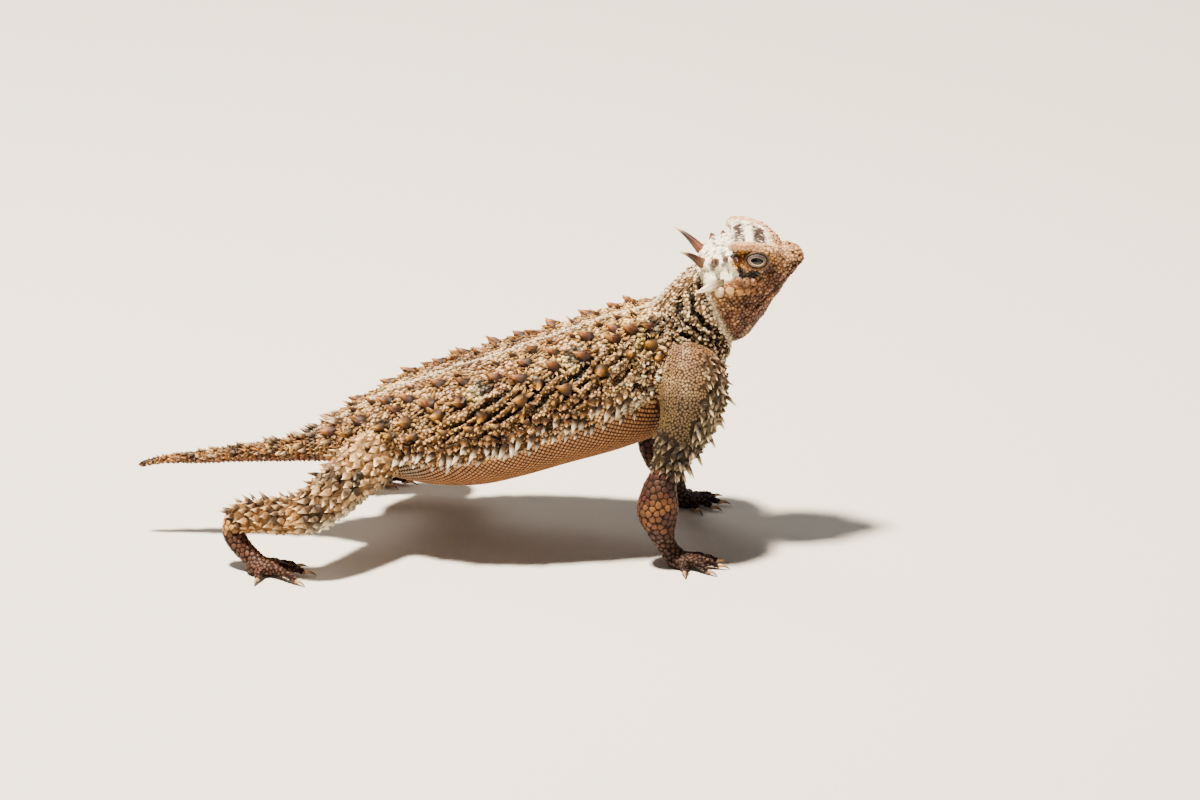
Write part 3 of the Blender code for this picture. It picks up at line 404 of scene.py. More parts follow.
# The belly, lower belly, upper arm, forearm, hand, foot, jaw and under-jaw colours are the animal's own
# browns, darkened further as painted shade for the shade those parts lie in. The furrow, mouth-line and
# under-brow colours are dark colours for painted shade in folds, creases and hollows; the furrow colour also
# darkens the limbs in random mottling.
palette = {name: deepened(text) for name, text in {
    "back": "#a87a56", "backPale": "#ecc692", "backDark": "#4c2e1e", "stripe": "#f8ecd6",
    "blotch": "#1a110e", "edge": "#dcc288", "flank": "#8a6444", "flankPale": "#d0a472",
    "furrow": "#180d08", "belly": "#80522a", "bellyUnderShade": "#6a421e", "bellyLine": "#240e06",
    "neck": "#80583a", "neckPale": "#f4d8ae", "throat": "#8c6a50", "armUpper": "#52402a",
    "armRear": "#665430", "armEdge": "#f4e0c0", "forearm": "#3a190d", "hand": "#341b12",
    "thigh": "#f4c89a", "thighUnder": "#f2e6ce", "shank": "#e6b07c", "band": "#28180e",
    "foot": "#4a2818", "tail": "#98683e", "tailUnderShade": "#744020", "crown": "#fff4e2", "bar": "#3a2d28",
    "brow": "#e0b290", "underBrowShade": "#9a6c3c", "snout": "#cd9c7a", "temple": "#fff4de",
    "patch": "#1a1012", "cheek": "#ab7c58", "knobFace": "#86644e", "jaw": "#50291a",
    "underJawShade": "#462216", "creaseAndMouthShade": "#180c08", "dots": "#2a1c16", "groin": "#7c766a",
    "knob": "#a8764a", "frill": "#fae8cc",
}.items()}
for bright in ("temple", "frill", "crown", "armEdge", "stripe", "thighUnder"):
    palette[bright] = np.minimum(palette[bright] * 1.25, 0.97)


def paint(base, colour, share):
    share = np.clip(share, 0, 1)[:, None]
    return base * (1 - share) + colour * share


def layered(colour, layers):
    # Paints palette colours one over another, each by its share
    for name, share in layers:
        colour = paint(colour, palette[name], share)
    return colour


# Dark blotches of the back: x, degrees round the body, half length and half width
blotches = {
    "dark": [(4.6, 55, 2.1, 2.5), (22.3, 55, 2.3, 2.9), (-14.7, 34, 2.0, 2.2), (36.6, 52, 2.2, 3.6)],
    "edgeShift": (-1.7, -1.5),
}
foldForm = {"slope": 27.0, "apart": 2.7, "deep": 0.72, "neckApart": 2.1, "clumpBand": (1.0, 15.0)}


def flankFolds(found):
    # Height of the oblique fold cords of the flank, and how far they show
    degrees, x, arc = found["degrees"], found["x"], found["arc"]
    slope = math.radians(foldForm["slope"])
    across = arc * math.cos(slope) - x * math.sin(slope)
    along = arc * math.sin(slope) + x * math.cos(slope)
    stretched = np.stack([along / 5.0, across / 2.4, found["flat"][:, 2]], 1)
    across = across + 1.2 * mottle(stretched, 1.0, 1) + 0.3 * mottle(found["flat"], 1.3, 2)
    wave = np.cos(2 * math.pi * across / foldForm["apart"])
    wave = signedPower(wave, 0.7) + 0.35 * mottle(stretched * 1.9, 1.0, 13)
    shows = step(degrees, 8, 15) * (1 - step(degrees, 40, 54)) * step(x, -13, -5) * (1 - step(x, 34, 37))
    return wave, shows * np.clip(0.8 + 0.6 * mottle(stretched * 0.6, 1.0, 14), 0.15, 1.2)


def neckFolds(found):
    # Upright folds of the neck, and how far they show
    degrees, flat = found["degrees"], found["flat"]
    ripple = 0.9 * mottle(flat, 2.8, 3) + 0.3 * mottle(flat, 1.2, 15)
    wave = np.cos(2 * math.pi * (found["length"] + ripple) / foldForm["neckApart"])
    return wave, step(found["at"], 16.6, 17.4) * (1 - step(degrees, 48, 66)) * step(degrees, -75, -50)


def lumps(found):
    # Round lumps parted by narrow furrows, 0 in a furrow and 1 on a lump, and how far they show
    degrees, x = found["degrees"], found["x"]
    lump = np.clip(np.abs(mottle(found["flat"] * (1.0, 1.25, 1.0), 1.9, 16)) * 2.6, 0, 1)
    low, high = foldForm["clumpBand"]
    band = step(degrees, low - 7, low - 1) * (1 - step(degrees, high - 3, high + 7))
    band = band * step(x, -15, -9) * (1 - step(x, 31, 34))
    shoulder = step(x, 24, 28) * step(degrees, -16, -6) * (1 - step(degrees, 42, 54))
    return lump, np.maximum(band, 0.9 * shoulder * (1 - step(found["at"], 17.4, 18.2)))


def trunkColour(found):
    degrees, x, at, flat = found["degrees"], found["x"], found["at"], found["flat"]
    high = step(degrees, 40, 60)
    wave, shows = flankFolds(found)
    lump, lumpShows = lumps(found)
    colour = layered(palette["flank"], [
        ("flankPale", 0.3 + 0.7 * mottle(flat, 2.4, 4)),
        ("back", high),
        ("backPale", high * (0.15 + 0.95 * mottle(flat, 3.4, 5))),
        ("backDark", high * (0.1 + 0.9 * mottle(flat, 2.2, 25)) * (1 - 0.6 * step(x, 20, 34))
         * (1 - 0.5 * step(-x, 10, 18))),
        ("backPale", step(degrees, 50, 70) * step(x, 14, 32) * 0.75),
        # Painted shade in the flank's fold furrows, painted highlight on the fold crests
        ("furrow", shows * step(-wave, -0.2, 0.45) * 0.97),
        ("flankPale", shows * step(wave, 0.55, 1.1) * 0.5),
        # Over the clumps: the knobs' own colour, painted shade in the furrows between lumps, and painted
        # highlight on the shoulder's lump tops
        ("knob", lumpShows * 0.5),
        ("furrow", lumpShows * (1 - step(lump, 0.12, 0.55)) * 0.96),
        ("neckPale", lumpShows * step(x, 24, 30) * step(lump, 0.7, 1.0) * 0.55),
        # The belly's own orange-brown, darkened further as painted shade, and darker still underneath as
        # painted shade
        ("belly", 1 - step(degrees, -17, -8)),
        ("bellyUnderShade", (1 - step(degrees, -70, -30)) * 0.6),
        ("groin", near(x, -12, 3.4) * near(degrees, -24, 16) * 0.8),
    ])
    wave, shows = neckFolds(found)
    necks = step(at, 16.6, 17.4)
    colour = layered(colour, [
        ("neck", necks * 0.8),
        # Painted highlight on the neck's fold crests, painted shade in their furrows
        ("neckPale", necks * shows * step(wave, 0.3, 0.9) * 0.75),
        ("furrow", shows * step(-wave, -0.3, 0.35) * 0.97),
        ("throat", necks * (1 - step(degrees, -50, -25))),
    ])
    ragged = mottle(flat, 1.4, 6) * 0.5
    shiftX, shiftArc = blotches["edgeShift"]
    for middleX, middleDegrees, wide, tall in blotches["dark"]:
        here = middleDegrees / 90 * found["girth"]
        rim = np.hypot((x - middleX - shiftX) / wide, (found["arc"] - here - shiftArc) / tall)
        dark = np.hypot((x - middleX) / wide, (found["arc"] - here) / tall)
        colour = layered(colour, [("edge", 1 - step(rim + ragged, 0.75, 1.1)),
                                  ("blotch", (1 - step(dark + ragged, 0.7, 1.05)) * 0.92)])
    tails = 1 - step(at, 5.4, 6.8)
    rings = step(np.cos(2 * math.pi * (x + 58) / 7.5 + 0.9 * mottle(flat, 2.5, 7)), 0.3, 0.9)
    tailColour = layered(palette["tail"], [
        ("backPale", 0.8 * mottle(flat, 2.0, 26)),
        # The tail's underside: partly its own orange-brown, partly painted shade
        ("tailUnderShade", 1 - step(degrees, -35, 5)),
        ("band", rings * step(degrees, -5, 25) * 0.75),
    ])
    colour = colour * (1 - tails)[:, None] + tailColour * tails[:, None]
    stripe = (1 - step(np.abs(found["point"][:, 1]), 0.3, 0.55)) * (degrees > 0) * step(at, 6.0, 7.2)
    return paint(colour, palette["stripe"], stripe)


def headLines(found):
    # Thin irregular creases of the cheek, jaw and snout, 1 along a crease; they are sunk into the skin and
    # coloured dark as painted shade
    h, k = found["h"], found["k"]
    coarse = near(mottle(found["point"], 1.9, 40) + 0.4 * mottle(found["point"], 0.8, 41), 0, 0.16)
    fine = near(mottle(found["point"], 1.1, 42) + 0.3 * mottle(found["point"], 0.5, 43), 0, 0.2)
    ridgeEnd = step(k, 4.2, 4.9) * step(np.abs(found["out"]), 2.2, 2.9)
    fine = fine * step(h, 12.6, 14) * step(k, 0.5, 2.5) * (1 - ridgeEnd)
    return np.maximum(coarse * (1 - step(k, 3.6, 5.0)), fine)


headMarks = {"barPlaces": (9.0, 12.2), "notch": 15.1, "patches": ((8.7, 2.1, 4.8, 1.0), (7.3, 1.0, 6.0, 1.0))}


def headColour(found):
    h, out, k, points = found["h"], np.abs(found["out"]), found["k"], found["point"]
    edge, reach = browEdge(h)
    fore = 1 - step(h, 13.6, 14.4)
    under = (step(k, edge - 3.4, edge - 2.4) * (1 - step(k, edge - 1.0, edge - 0.6))
             * step(h, 6.2, 7.4) * fore)
    crown = (step(k, edge - 1.4, edge - 0.9) * (1 - step(out, reach - 0.8, reach - 0.1))
             * step(h, 7, 8) * fore)
    crown = np.maximum(crown, step(k, 8.3, 9.2) * (1 - step(h, 7.0, 8.0)))
    speckle = 0.35 + 0.65 * step(mottle(points, 0.55, 8), -0.5, 0.0)
    speck = step(mottle(points, 0.55, 9) - 0.2 * step(h, 6.5, 8.5), 0.2, 0.26)
    dots = speck * step(k, np.where(h < 8, 7.3, edge - 1.6), np.where(h < 8, 7.9, edge - 1.1)) * fore
    patch = np.minimum(*(np.hypot((h - middleH) / wide, (k - middleK) / tall)
                         for middleH, wide, middleK, tall in headMarks["patches"]))
    notch = near(h, headMarks["notch"], 0.55) * step(k, 3.0, 4.2) * near(out, 2.2, 1.6)
    ridge = step(out, reach - 0.8, reach - 0.1) * step(k, edge - 1.0, edge - 0.6) * step(h, 6.8, 7.6) * fore
    inner = 1 - step(out, reach - 1.5, reach - 0.7)
    bars = [("bar", step(near(h, place, 1.0), 0.25, 0.6) * inner * crown * speckle)
            for place in headMarks["barPlaces"]]
    # The jaw's own brown, darkened further as painted shade, is the base here
    colour = layered(palette["jaw"], [
        ("cheek", step(k, 0.5, 3.5) * (1 - step(h, 9, 13)) * 0.65),
        # Darker underneath the jaw: its own brown, darkened further as painted shade
        ("underJawShade", (1 - step(k, -6.5, -2.0)) * 0.75),
        ("cheek", step(mottle(points, 1.1, 17), 0.1, 0.6) * (1 - step(k, 4, 6)) * 0.5),
        ("snout", step(h, 12.5, 15) * step(k, 1.8, 3.8)),
        ("cheek", step(k, 4.5, 6.5) * (1 - step(h, 7, 9))),
        # Painted shade along the creases
        ("creaseAndMouthShade", headLines(found) * 0.62),
        ("frill", near(h, 0.3, 0.7) * (1 - step(k, 3.6, 5.2)) * step(k, -8, -5.5) * 0.97),
        ("temple", step(k, 5.3, 6.1) * (1 - step(k, 8.7, 9.3)) * (1 - step(h, 6.2, 7.2))),
        # Ochre skin under the brow and the shelf: partly its own colour, partly painted shade under their
        # overhang
        ("underBrowShade", under * step(out, 4.2, 5.2)),
        ("underBrowShade", near(h, 6.9, 1.0) * near(k, 7.6, 1.2) * step(out, 5.5, 6.5)),
        ("crown", crown),
    ] + bars)
    return layered(colour, [
        ("dots", dots * 0.85),
        ("brow", ridge),
        ("brow", near(h, 14.5, 0.8) * step(k, 5.2, 6.0)),
        ("patch", (1 - step(patch, 0.8, 1.05)) * step(out, 4.2, 5.0)),
        ("patch", near(k, 4.4 - 0.12 * (h - 9), 0.4) * step(h, 9, 10) * (1 - step(h, 12, 14)) * 0.8),
        # Painted shade in the notch before the brow, in the mouth's groove and in the nostril's hole
        ("creaseAndMouthShade", notch * 0.9),
        ("creaseAndMouthShade", near(k, mouthHeight(h), 0.22) * step(h, 5.6, 7.0) * 0.9),
        ("blotch", 1 - step(nostrilGap(h, out, k), 0.35, 0.6)),
    ])


legBands = (2.5, 3.8, 5.2, 6.3, 7.3)  # places of the dark bands along a hind leg


def limbColour(found, limb):
    at, turn, points = found[limb], np.abs(found[limb + "_turn"]), found["point"]
    if limb.endswith("arm"):
        # Upper arm, forearm and hand: their own browns, darkened further as painted shade
        colour = layered(palette["armUpper"], [
            ("neck", (1 - step(at, 0.8, 1.8)) * 0.6),
            ("neckPale", (1 - step(at, 0.9, 1.7)) * (0.05 + 0.6 * mottle(points, 1.8, 27))),
            ("armRear", step(turn, 95, 150) * step(at, 1.5, 2.4) * 0.6),
            ("armEdge", (1 - step(turn, 30, 60)) * step(at, 1.0, 1.8) * 0.3),
            ("band", near(at, 2.7, 0.4) * 0.5),
            ("forearm", step(at, 3.5, 4.1)),
            ("knob", step(at, 4.4, 5.0) * (0.02 + 0.36 * mottle(points, 2.2, 28))),
            ("band", near(at, 4.6, 0.4) * 0.5 + near(at, 7.2, 0.5) * 0.5),
            ("hand", step(at, 7.4, 8.4)),
        ])
    else:
        heights = np.array(limbForm[limb])[:, 2]
        under = step(-points[:, 2] + np.interp(at, np.arange(12), heights), 0.5, 2.2)
        ragged = 0.35 * mottle(points, 1.6, 30)
        bands = [("band", near(at + ragged, place, 0.26) * (1 - under * 0.7) * 0.9) for place in legBands]
        colour = layered(palette["thigh"], [
            ("knob", 0.08 + 0.8 * mottle(points, 2.4, 29)),
            ("thighUnder", under * step(at, 1.6, 2.6) * (1 - step(at, 4.0, 5.0))),
            ("groin", under * (1 - step(at, 1.4, 2.4)) * 0.7),
            ("shank", step(at, 3.8, 4.6)),
        # The foot's own brown, darkened further as painted shade
        ] + bands + [("foot", step(at, 7.7, 8.6))])
    return paint(colour, palette["furrow"], 0.08 + 0.4 * mottle(points, 1.8, 10))


def markings(found):
    colour = trunkColour(found) * found["share"][0][:, None]
    colour += headColour(found) * found["share"][1][:, None]
    for index, limb in enumerate(limbNames):
        colour += limbColour(found, limb) * found["share"][2 + index][:, None]
    return colour


eyeForm = {
    "h": 10.6, "out": 5.4, "k": 6.5, "radius": 2.5, "turnUp": 12.0,
    "opening": (1.08, 0.6), "outline": (1.84, 1.27),
    "pupil": "#060404", "iris": "#2c1a10", "rim": "#20140e", "irisFrom": (23, 27), "rimFrom": (30, 40),
}
eyeRowCentre = {side: headPoint(eyeForm["h"], sign * eyeForm["out"], eyeForm["k"])[0]
                for side, sign in (("right", -1), ("left", 1))}
eyeLow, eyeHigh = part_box("eye_right")
shift = (np.array(eyeLow) + np.array(eyeHigh)) / 2 - eyeRowCentre["right"] * mm
shift[2] = 0.0


def inMetres(points):
    return np.asarray(points) * mm + shift


def inRows(points):
    return (np.asarray(points) - shift) / mm


def eyeAxes(side):
    # Directions forward, up and out of an eye's opening
    sign = -1 if side == "right" else 1
    rise = math.radians(eyeForm["turnUp"])
    gaze = unit(np.array([0.10, sign * math.cos(rise), math.sin(rise)]))
    ahead = np.array([1.0, 0.0, -0.05])
    ahead = unit(ahead - gaze * (ahead @ gaze))
    upward = np.cross(ahead, gaze) * (-1 if side == "right" else 1)
    if upward[2] < 0:
        upward = -upward
    return ahead, upward, gaze


# Camera at the photograph's place: level with the flank, eighteen degrees above the floor
cameraSet = {"target": (23.5, 0.0, 25.3), "rise": 18.0, "distance": 2.0, "lens": 331.0, "sensor": 36.0}


def addCamera():
    data = bpy.data.cameras.new("camera")
    data.lens = cameraSet["lens"]
    data.sensor_width = cameraSet["sensor"]
    data.clip_start = 0.05
    data.clip_end = 20
    camera = bpy.data.objects.new("camera", data)
    bpy.context.scene.collection.objects.link(camera)
    target = Vector(inMetres(cameraSet["target"]))
    rise = math.radians(cameraSet["rise"])
    back = Vector((0, -math.cos(rise), math.sin(rise)))
    camera.location = target + back * cameraSet["distance"]
    camera.rotation_euler = (-back).to_track_quat("-Z", "Y").to_euler()
    bpy.context.scene.camera = camera


addCamera()
print("camera set")


# Materials
def addNode(tree, kind, settings, links=()):
    # Adds a node, sets its properties and sockets, and links sockets from other nodes
    node = tree.nodes.new(kind)
    for name, value in settings.items():
        if name in node.inputs:
            node.inputs[name].default_value = value
        else:
            setattr(node, name, value)
    for socket, source in links:
        tree.links.new(source, node.inputs[socket])
    return node


def newMaterial(name, shaderSettings):
    material = bpy.data.materials.new(name)
    material.use_nodes = True
    tree = material.node_tree
    shader = tree.nodes["Principled BSDF"]
    for socket, value in shaderSettings.items():
        shader.inputs[socket].default_value = value
    return material, tree, shader


def tintedMaterial(name, look, shaderSettings):
    # A surface that takes its markings from the tint attribute, with grain and fine bumps
    material, tree, shader = newMaterial(name, shaderSettings)
    tint = addNode(tree, "ShaderNodeAttribute", {"attribute_name": "tint"})
    place = addNode(tree, "ShaderNodeTexCoord", {})
    grain = addNode(tree, "ShaderNodeTexNoise",
                    {"Scale": 1 / (look["grain"] * mm), "Detail": 4.0, "Roughness": 0.65},
                    [("Vector", place.outputs["Object"])])
    shade = addNode(tree, "ShaderNodeMapRange", {"From Min": 0.3, "From Max": 0.7, "To Min": look["dark"],
                                                 "To Max": look["light"]}, [("Value", grain.outputs["Fac"])])
    mixed = addNode(tree, "ShaderNodeVectorMath", {"operation": "SCALE"},
                    [("Vector", tint.outputs["Color"]), ("Scale", shade.outputs["Result"])])
    tree.links.new(mixed.outputs["Vector"], shader.inputs["Base Color"])
    cells = addNode(tree, "ShaderNodeTexVoronoi", {"Scale": 1 / (look["cell"] * mm), "Randomness": 0.85},
                    [("Vector", place.outputs["Object"])])
    cellBump = addNode(tree, "ShaderNodeBump",
                       {"Strength": look["cellStrength"], "Distance": look["cellDepth"] * mm, "invert": True},
                       [("Height", cells.outputs["Distance"])])
    grainBump = addNode(tree, "ShaderNodeBump", {"Strength": look["grainStrength"],
                                                 "Distance": look["grainDepth"] * mm},
                        [("Height", grain.outputs["Fac"]), ("Normal", cellBump.outputs["Normal"])])
    tree.links.new(grainBump.outputs["Normal"], shader.inputs["Normal"])
    return material


# Dry reptile skin between the scales: matt, finely granular, 0.5 mm cells
skinMaterial = tintedMaterial("reptileSkin", {
    "grain": 1.6, "dark": 0.72, "light": 1.12, "cell": 0.5, "cellStrength": 0.8, "cellDepth": 0.12,
    "grainStrength": 0.35, "grainDepth": 0.08}, {"Roughness": 0.8, "Specular IOR Level": 0.18, "IOR": 1.5})
# Keratin scales: a dull, slightly waxy sheen; the tint carries pale tips, partly the scales' own cream and
# partly painted highlight, and painted shade at their feet
scaleMaterial = tintedMaterial("keratinScales", {
    "grain": 0.7, "dark": 0.64, "light": 1.26, "cell": 0.22, "cellStrength": 0.35, "cellDepth": 0.04,
    "grainStrength": 0.4, "grainDepth": 0.05}, {"Roughness": 0.6, "Specular IOR Level": 0.26, "IOR": 1.54})
# Horn keratin: denser and smoother than the scales, with a low polish from wear
hornMaterial = tintedMaterial("hornKeratin", {
    "grain": 0.7, "dark": 0.8, "light": 1.12, "cell": 0.35, "cellStrength": 0.15, "cellDepth": 0.03,
    "grainStrength": 0.3, "grainDepth": 0.04}, {"Roughness": 0.42, "Specular IOR Level": 0.38, "IOR": 1.55,
                                                "Coat Weight": 0.14, "Coat Roughness": 0.3})
# Wet eye: a clear, glossy tear film over a near-black pupil and dark iris
eyeMaterial = tintedMaterial("wetEye", {
    "grain": 0.4, "dark": 0.9, "light": 1.05, "cell": 0.5, "cellStrength": 0.0, "cellDepth": 0.01,
    "grainStrength": 0.0, "grainDepth": 0.01}, {"Roughness": 0.12, "Specular IOR Level": 0.4, "IOR": 1.38,
                                                "Coat Weight": 0.6, "Coat Roughness": 0.04})
print("materials made")


# Meshes from numbers
def meshFromArrays(name, points, faces, tint, material, uv=None, sharp=None):
    # A piece in metres from rows in millimetres, triangles, a colour for each point and a UV map
    mesh = bpy.data.meshes.new(name)
    mesh.vertices.add(len(points))
    mesh.vertices.foreach_set("co", inMetres(points).astype(np.float32).ravel())
    mesh.loops.add(len(faces) * 3)
    mesh.loops.foreach_set("vertex_index", faces.astype(np.int32).ravel())
    mesh.polygons.add(len(faces))
    mesh.polygons.foreach_set("loop_start", np.arange(0, len(faces) * 3, 3, dtype=np.int32))
    mesh.update(calc_edges=True)
    mesh.shade_smooth()
    if sharp:
        mesh.set_sharp_from_angle(angle=math.radians(sharp))
    setTint(mesh, tint)
    if uv is not None:
        layer = mesh.uv_layers.new(name="OFBake")
        layer.data.foreach_set("uv", uv[faces.ravel()].astype(np.float32).ravel())
    mesh.materials.append(material)
    obj = bpy.data.objects.new(name, mesh)
    bpy.context.scene.collection.objects.link(obj)
    return obj


def setTint(mesh, tint):
    layer = mesh.color_attributes.new("tint", "FLOAT_COLOR", "POINT")
    colours = np.ones((len(tint), 4), np.float32)
    colours[:, :3] = np.clip(tint, 0, 1)
    layer.data.foreach_set("color", colours.ravel())


def finishPiece(piece, nodes=()):
    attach(piece, "root")
    if nodes:
        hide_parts(*nodes)


def ringFaces(rings, sides):
    # Triangles between rings of points that follow one another
    at = np.arange((rings - 1) * sides)
    beside = at // sides * sides + (at + 1) % sides
    return np.concatenate([np.stack([at, beside, beside + sides], 1),
                           np.stack([at, beside + sides, at + sides], 1)])


class Forms:
    # Gathers closed lofts in millimetres into one mesh

    def __init__(self):
        self.points = []
        self.faces = []

    def loft(self, rings):
        start = len(self.points)
        sides = len(rings[0])
        for ring in rings:
            self.points.extend(tuple(p) for p in ring)
        for r in range(len(rings) - 1):
            for i in range(sides):
                j = (i + 1) % sides
                a, b = start + r * sides, start + (r + 1) * sides
                self.faces.append((a + i, a + j, b + j, b + i))
        self.faces.append(tuple(start + i for i in range(sides))[::-1])
        self.faces.append(tuple(start + (len(rings) - 1) * sides + i for i in range(sides)))

    def tube(self, rows, sides=16, grow=0.0):
        rows = np.asarray(rows, float)
        ahead = unit(np.gradient(rows[:, :3], axis=0))
        across = None
        rings = []
        angles = np.linspace(0, 2 * math.pi, sides, endpoint=False)
        for row, direction in zip(rows, ahead):
            if across is None:
                across = np.cross(direction, (0.3, 0.5, 0.8))
            across = unit(across - direction * (across @ direction))
            third = np.cross(direction, across)
            radius = max(row[3] + grow, 0.15)
            around = np.cos(angles)[:, None] * across + np.sin(angles)[:, None] * third
            rings.append(row[:3] + around * radius)
        self.loft(rings)

    def ball(self, centre, radii, turn=0.0):
        angles = np.linspace(0, 2 * math.pi, 20, endpoint=False)
        rings = []
        for tilt in np.linspace(-math.pi / 2 + 0.12, math.pi / 2 - 0.12, 11):
            x = np.cos(angles) * math.cos(tilt) * radii[0]
            y = np.sin(angles) * math.cos(tilt) * radii[1]
            rings.append(np.stack([
                centre[0] + x * math.cos(turn) - y * math.sin(turn),
                centre[1] + x * math.sin(turn) + y * math.cos(turn),
                np.full_like(x, centre[2] + math.sin(tilt) * radii[2])], 1))
        self.loft(rings)


# Horns: base h, k, out, tip h, k, out and base radius, on both sides of the head
hornForm = {
    "rows": {
        "occipital_horn": (1.3, 8.9, 3.7, -1.7, 13.6, 6.0, 0.95),
        "temporal_horn_rear": (3.8, 8.9, 6.0, 3.5, 9.3, 8.5, 0.85),
        "temporal_horn_mid": (5.7, 8.8, 6.2, 5.7, 9.1, 8.1, 0.65),
        "temporal_horn_front": (7.5, 8.4, 6.5, 7.8, 8.4, 8.3, 0.7),
    },
    "share": {"right": 0.87, "left": 1.03}, "bow": 0.06, "sides": 20, "rings": 18,
    "root": "#63391f", "middle": "#341a14", "longTip": "#d8b286", "shortTip": "#5c3628", "longFrom": 2.5,
}


def hornAxis(name, side):
    h0, k0, out0, h1, k1, out1, radius = hornForm["rows"][name]
    sign = -1 if side == "right" else 1
    base = headPoint(h0, sign * out0, k0)[0]
    reach = (headPoint(h1, sign * out1, k1)[0] - base) * hornForm["share"][side]
    return base, unit(reach), float(np.linalg.norm(reach)), radius


# One skin over the whole body
def addSkin():
    forms = Forms()
    depth = bodyForm["skinDepth"]
    turns = np.linspace(0, 360, 48, endpoint=False)
    forms.loft([trunkPoint(np.full(48, at), turns, -min(depth, 0.2 + 0.02 * at))
                for at in np.linspace(0.05, bodyForm["nape"], 110)])
    rings = []
    for h in np.linspace(0.15, 18.3, 44):
        middle, halfTall, halfWide, crown = (v[0] for v in headSection(np.array([h])))
        out, rise = roundSection(np.radians(turns), crown, 2.1)
        rings.append(headPoint(np.full(48, h), out * (halfWide - depth * 0.7),
                               middle + rise * (halfTall - depth * 0.7)))
    forms.loft(rings)
    for name in ("brow", "shelf"):
        rows = blendRows(headForm[name], np.linspace(0, 4, 15))
        for sign in (1, -1):
            track = headPoint(rows[:, 0], sign * rows[:, 2], rows[:, 1])
            forms.tube(np.column_stack([track, rows[:, 3] - 0.2]))
    rings = []
    across = np.linspace(-1, 1, 13)
    for h in np.linspace(7.7, 14.4, 18):
        edge, reach = browEdge(h)
        top = edge + 0.2 - 0.55 * (1 - across ** 2)
        rings.append(headPoint(h, np.concatenate([across, across[::-1]]) * (reach + 0.1),
                               np.concatenate([top, np.full(13, edge - 1.7)])))
    forms.loft(rings)
    for side, sign in (("right", -1), ("left", 1)):
        forms.ball(headPoint(7.9, sign * 6.4, 10.6)[0], (1.15, 1.0, 1.0))
        forms.ball(eyeRowCentre[side], (2.75, 2.75, 2.75))
        for name in hornForm["rows"]:
            base, ahead, length, radius = hornAxis(name, side)
            places = np.array([-2.2, -1.2, -0.3, 0.15])
            track = base + ahead * places[:, None]
            forms.tube(np.column_stack([track, radius + np.array([0.6, 0.4, 0.2, 0.0])]))
    for limb in limbNames:
        path = limbForm[limb]
        rows = blendRows(path, np.arange(0, len(path) - 1 + 0.01, 0.25))
        forms.tube(rows, 20, -0.25)
        for toe in toeRows(limb):
            forms.tube(blendRows(toe, np.linspace(0, 4, 13)), 12, -0.08)
        x, y = path[-1][:2]
        long, wide, thick = footForm["sole"][limb.split("_")[1]]
        middleToe = footForm["toes"][limb][2]
        turn = math.atan2(middleToe[1] - y, middleToe[0] - x)
        forms.ball((x, y, thick * 0.8), (long, wide, thick), turn)
    mesh = bpy.data.meshes.new("lizard_skin")
    mesh.from_pydata([tuple(p) for p in inMetres(forms.points)], [], forms.faces)
    skin = bpy.data.objects.new("lizard_skin", mesh)
    bpy.context.scene.collection.objects.link(skin)
    bpy.context.view_layer.objects.active = skin
    skin.select_set(True)
    remesh = skin.modifiers.new("remesh", "REMESH")
    remesh.mode = "VOXEL"
    remesh.voxel_size = bodyForm["voxel"] * mm
    bpy.ops.object.modifier_apply(modifier="remesh")
    relax = skin.modifiers.new("relax", "SMOOTH")
    relax.factor = 0.5
    relax.iterations = bodyForm["smoothing"]
    bpy.ops.object.modifier_apply(modifier="relax")
    skin.select_set(False)
    return skin


def meshArrays(mesh):
    points = np.zeros(len(mesh.vertices) * 3)
    mesh.vertices.foreach_get("co", points)
    normals = np.zeros(len(mesh.vertices) * 3)
    mesh.vertices.foreach_get("normal", normals)
    return inRows(points.reshape(-1, 3)), normals.reshape(-1, 3)


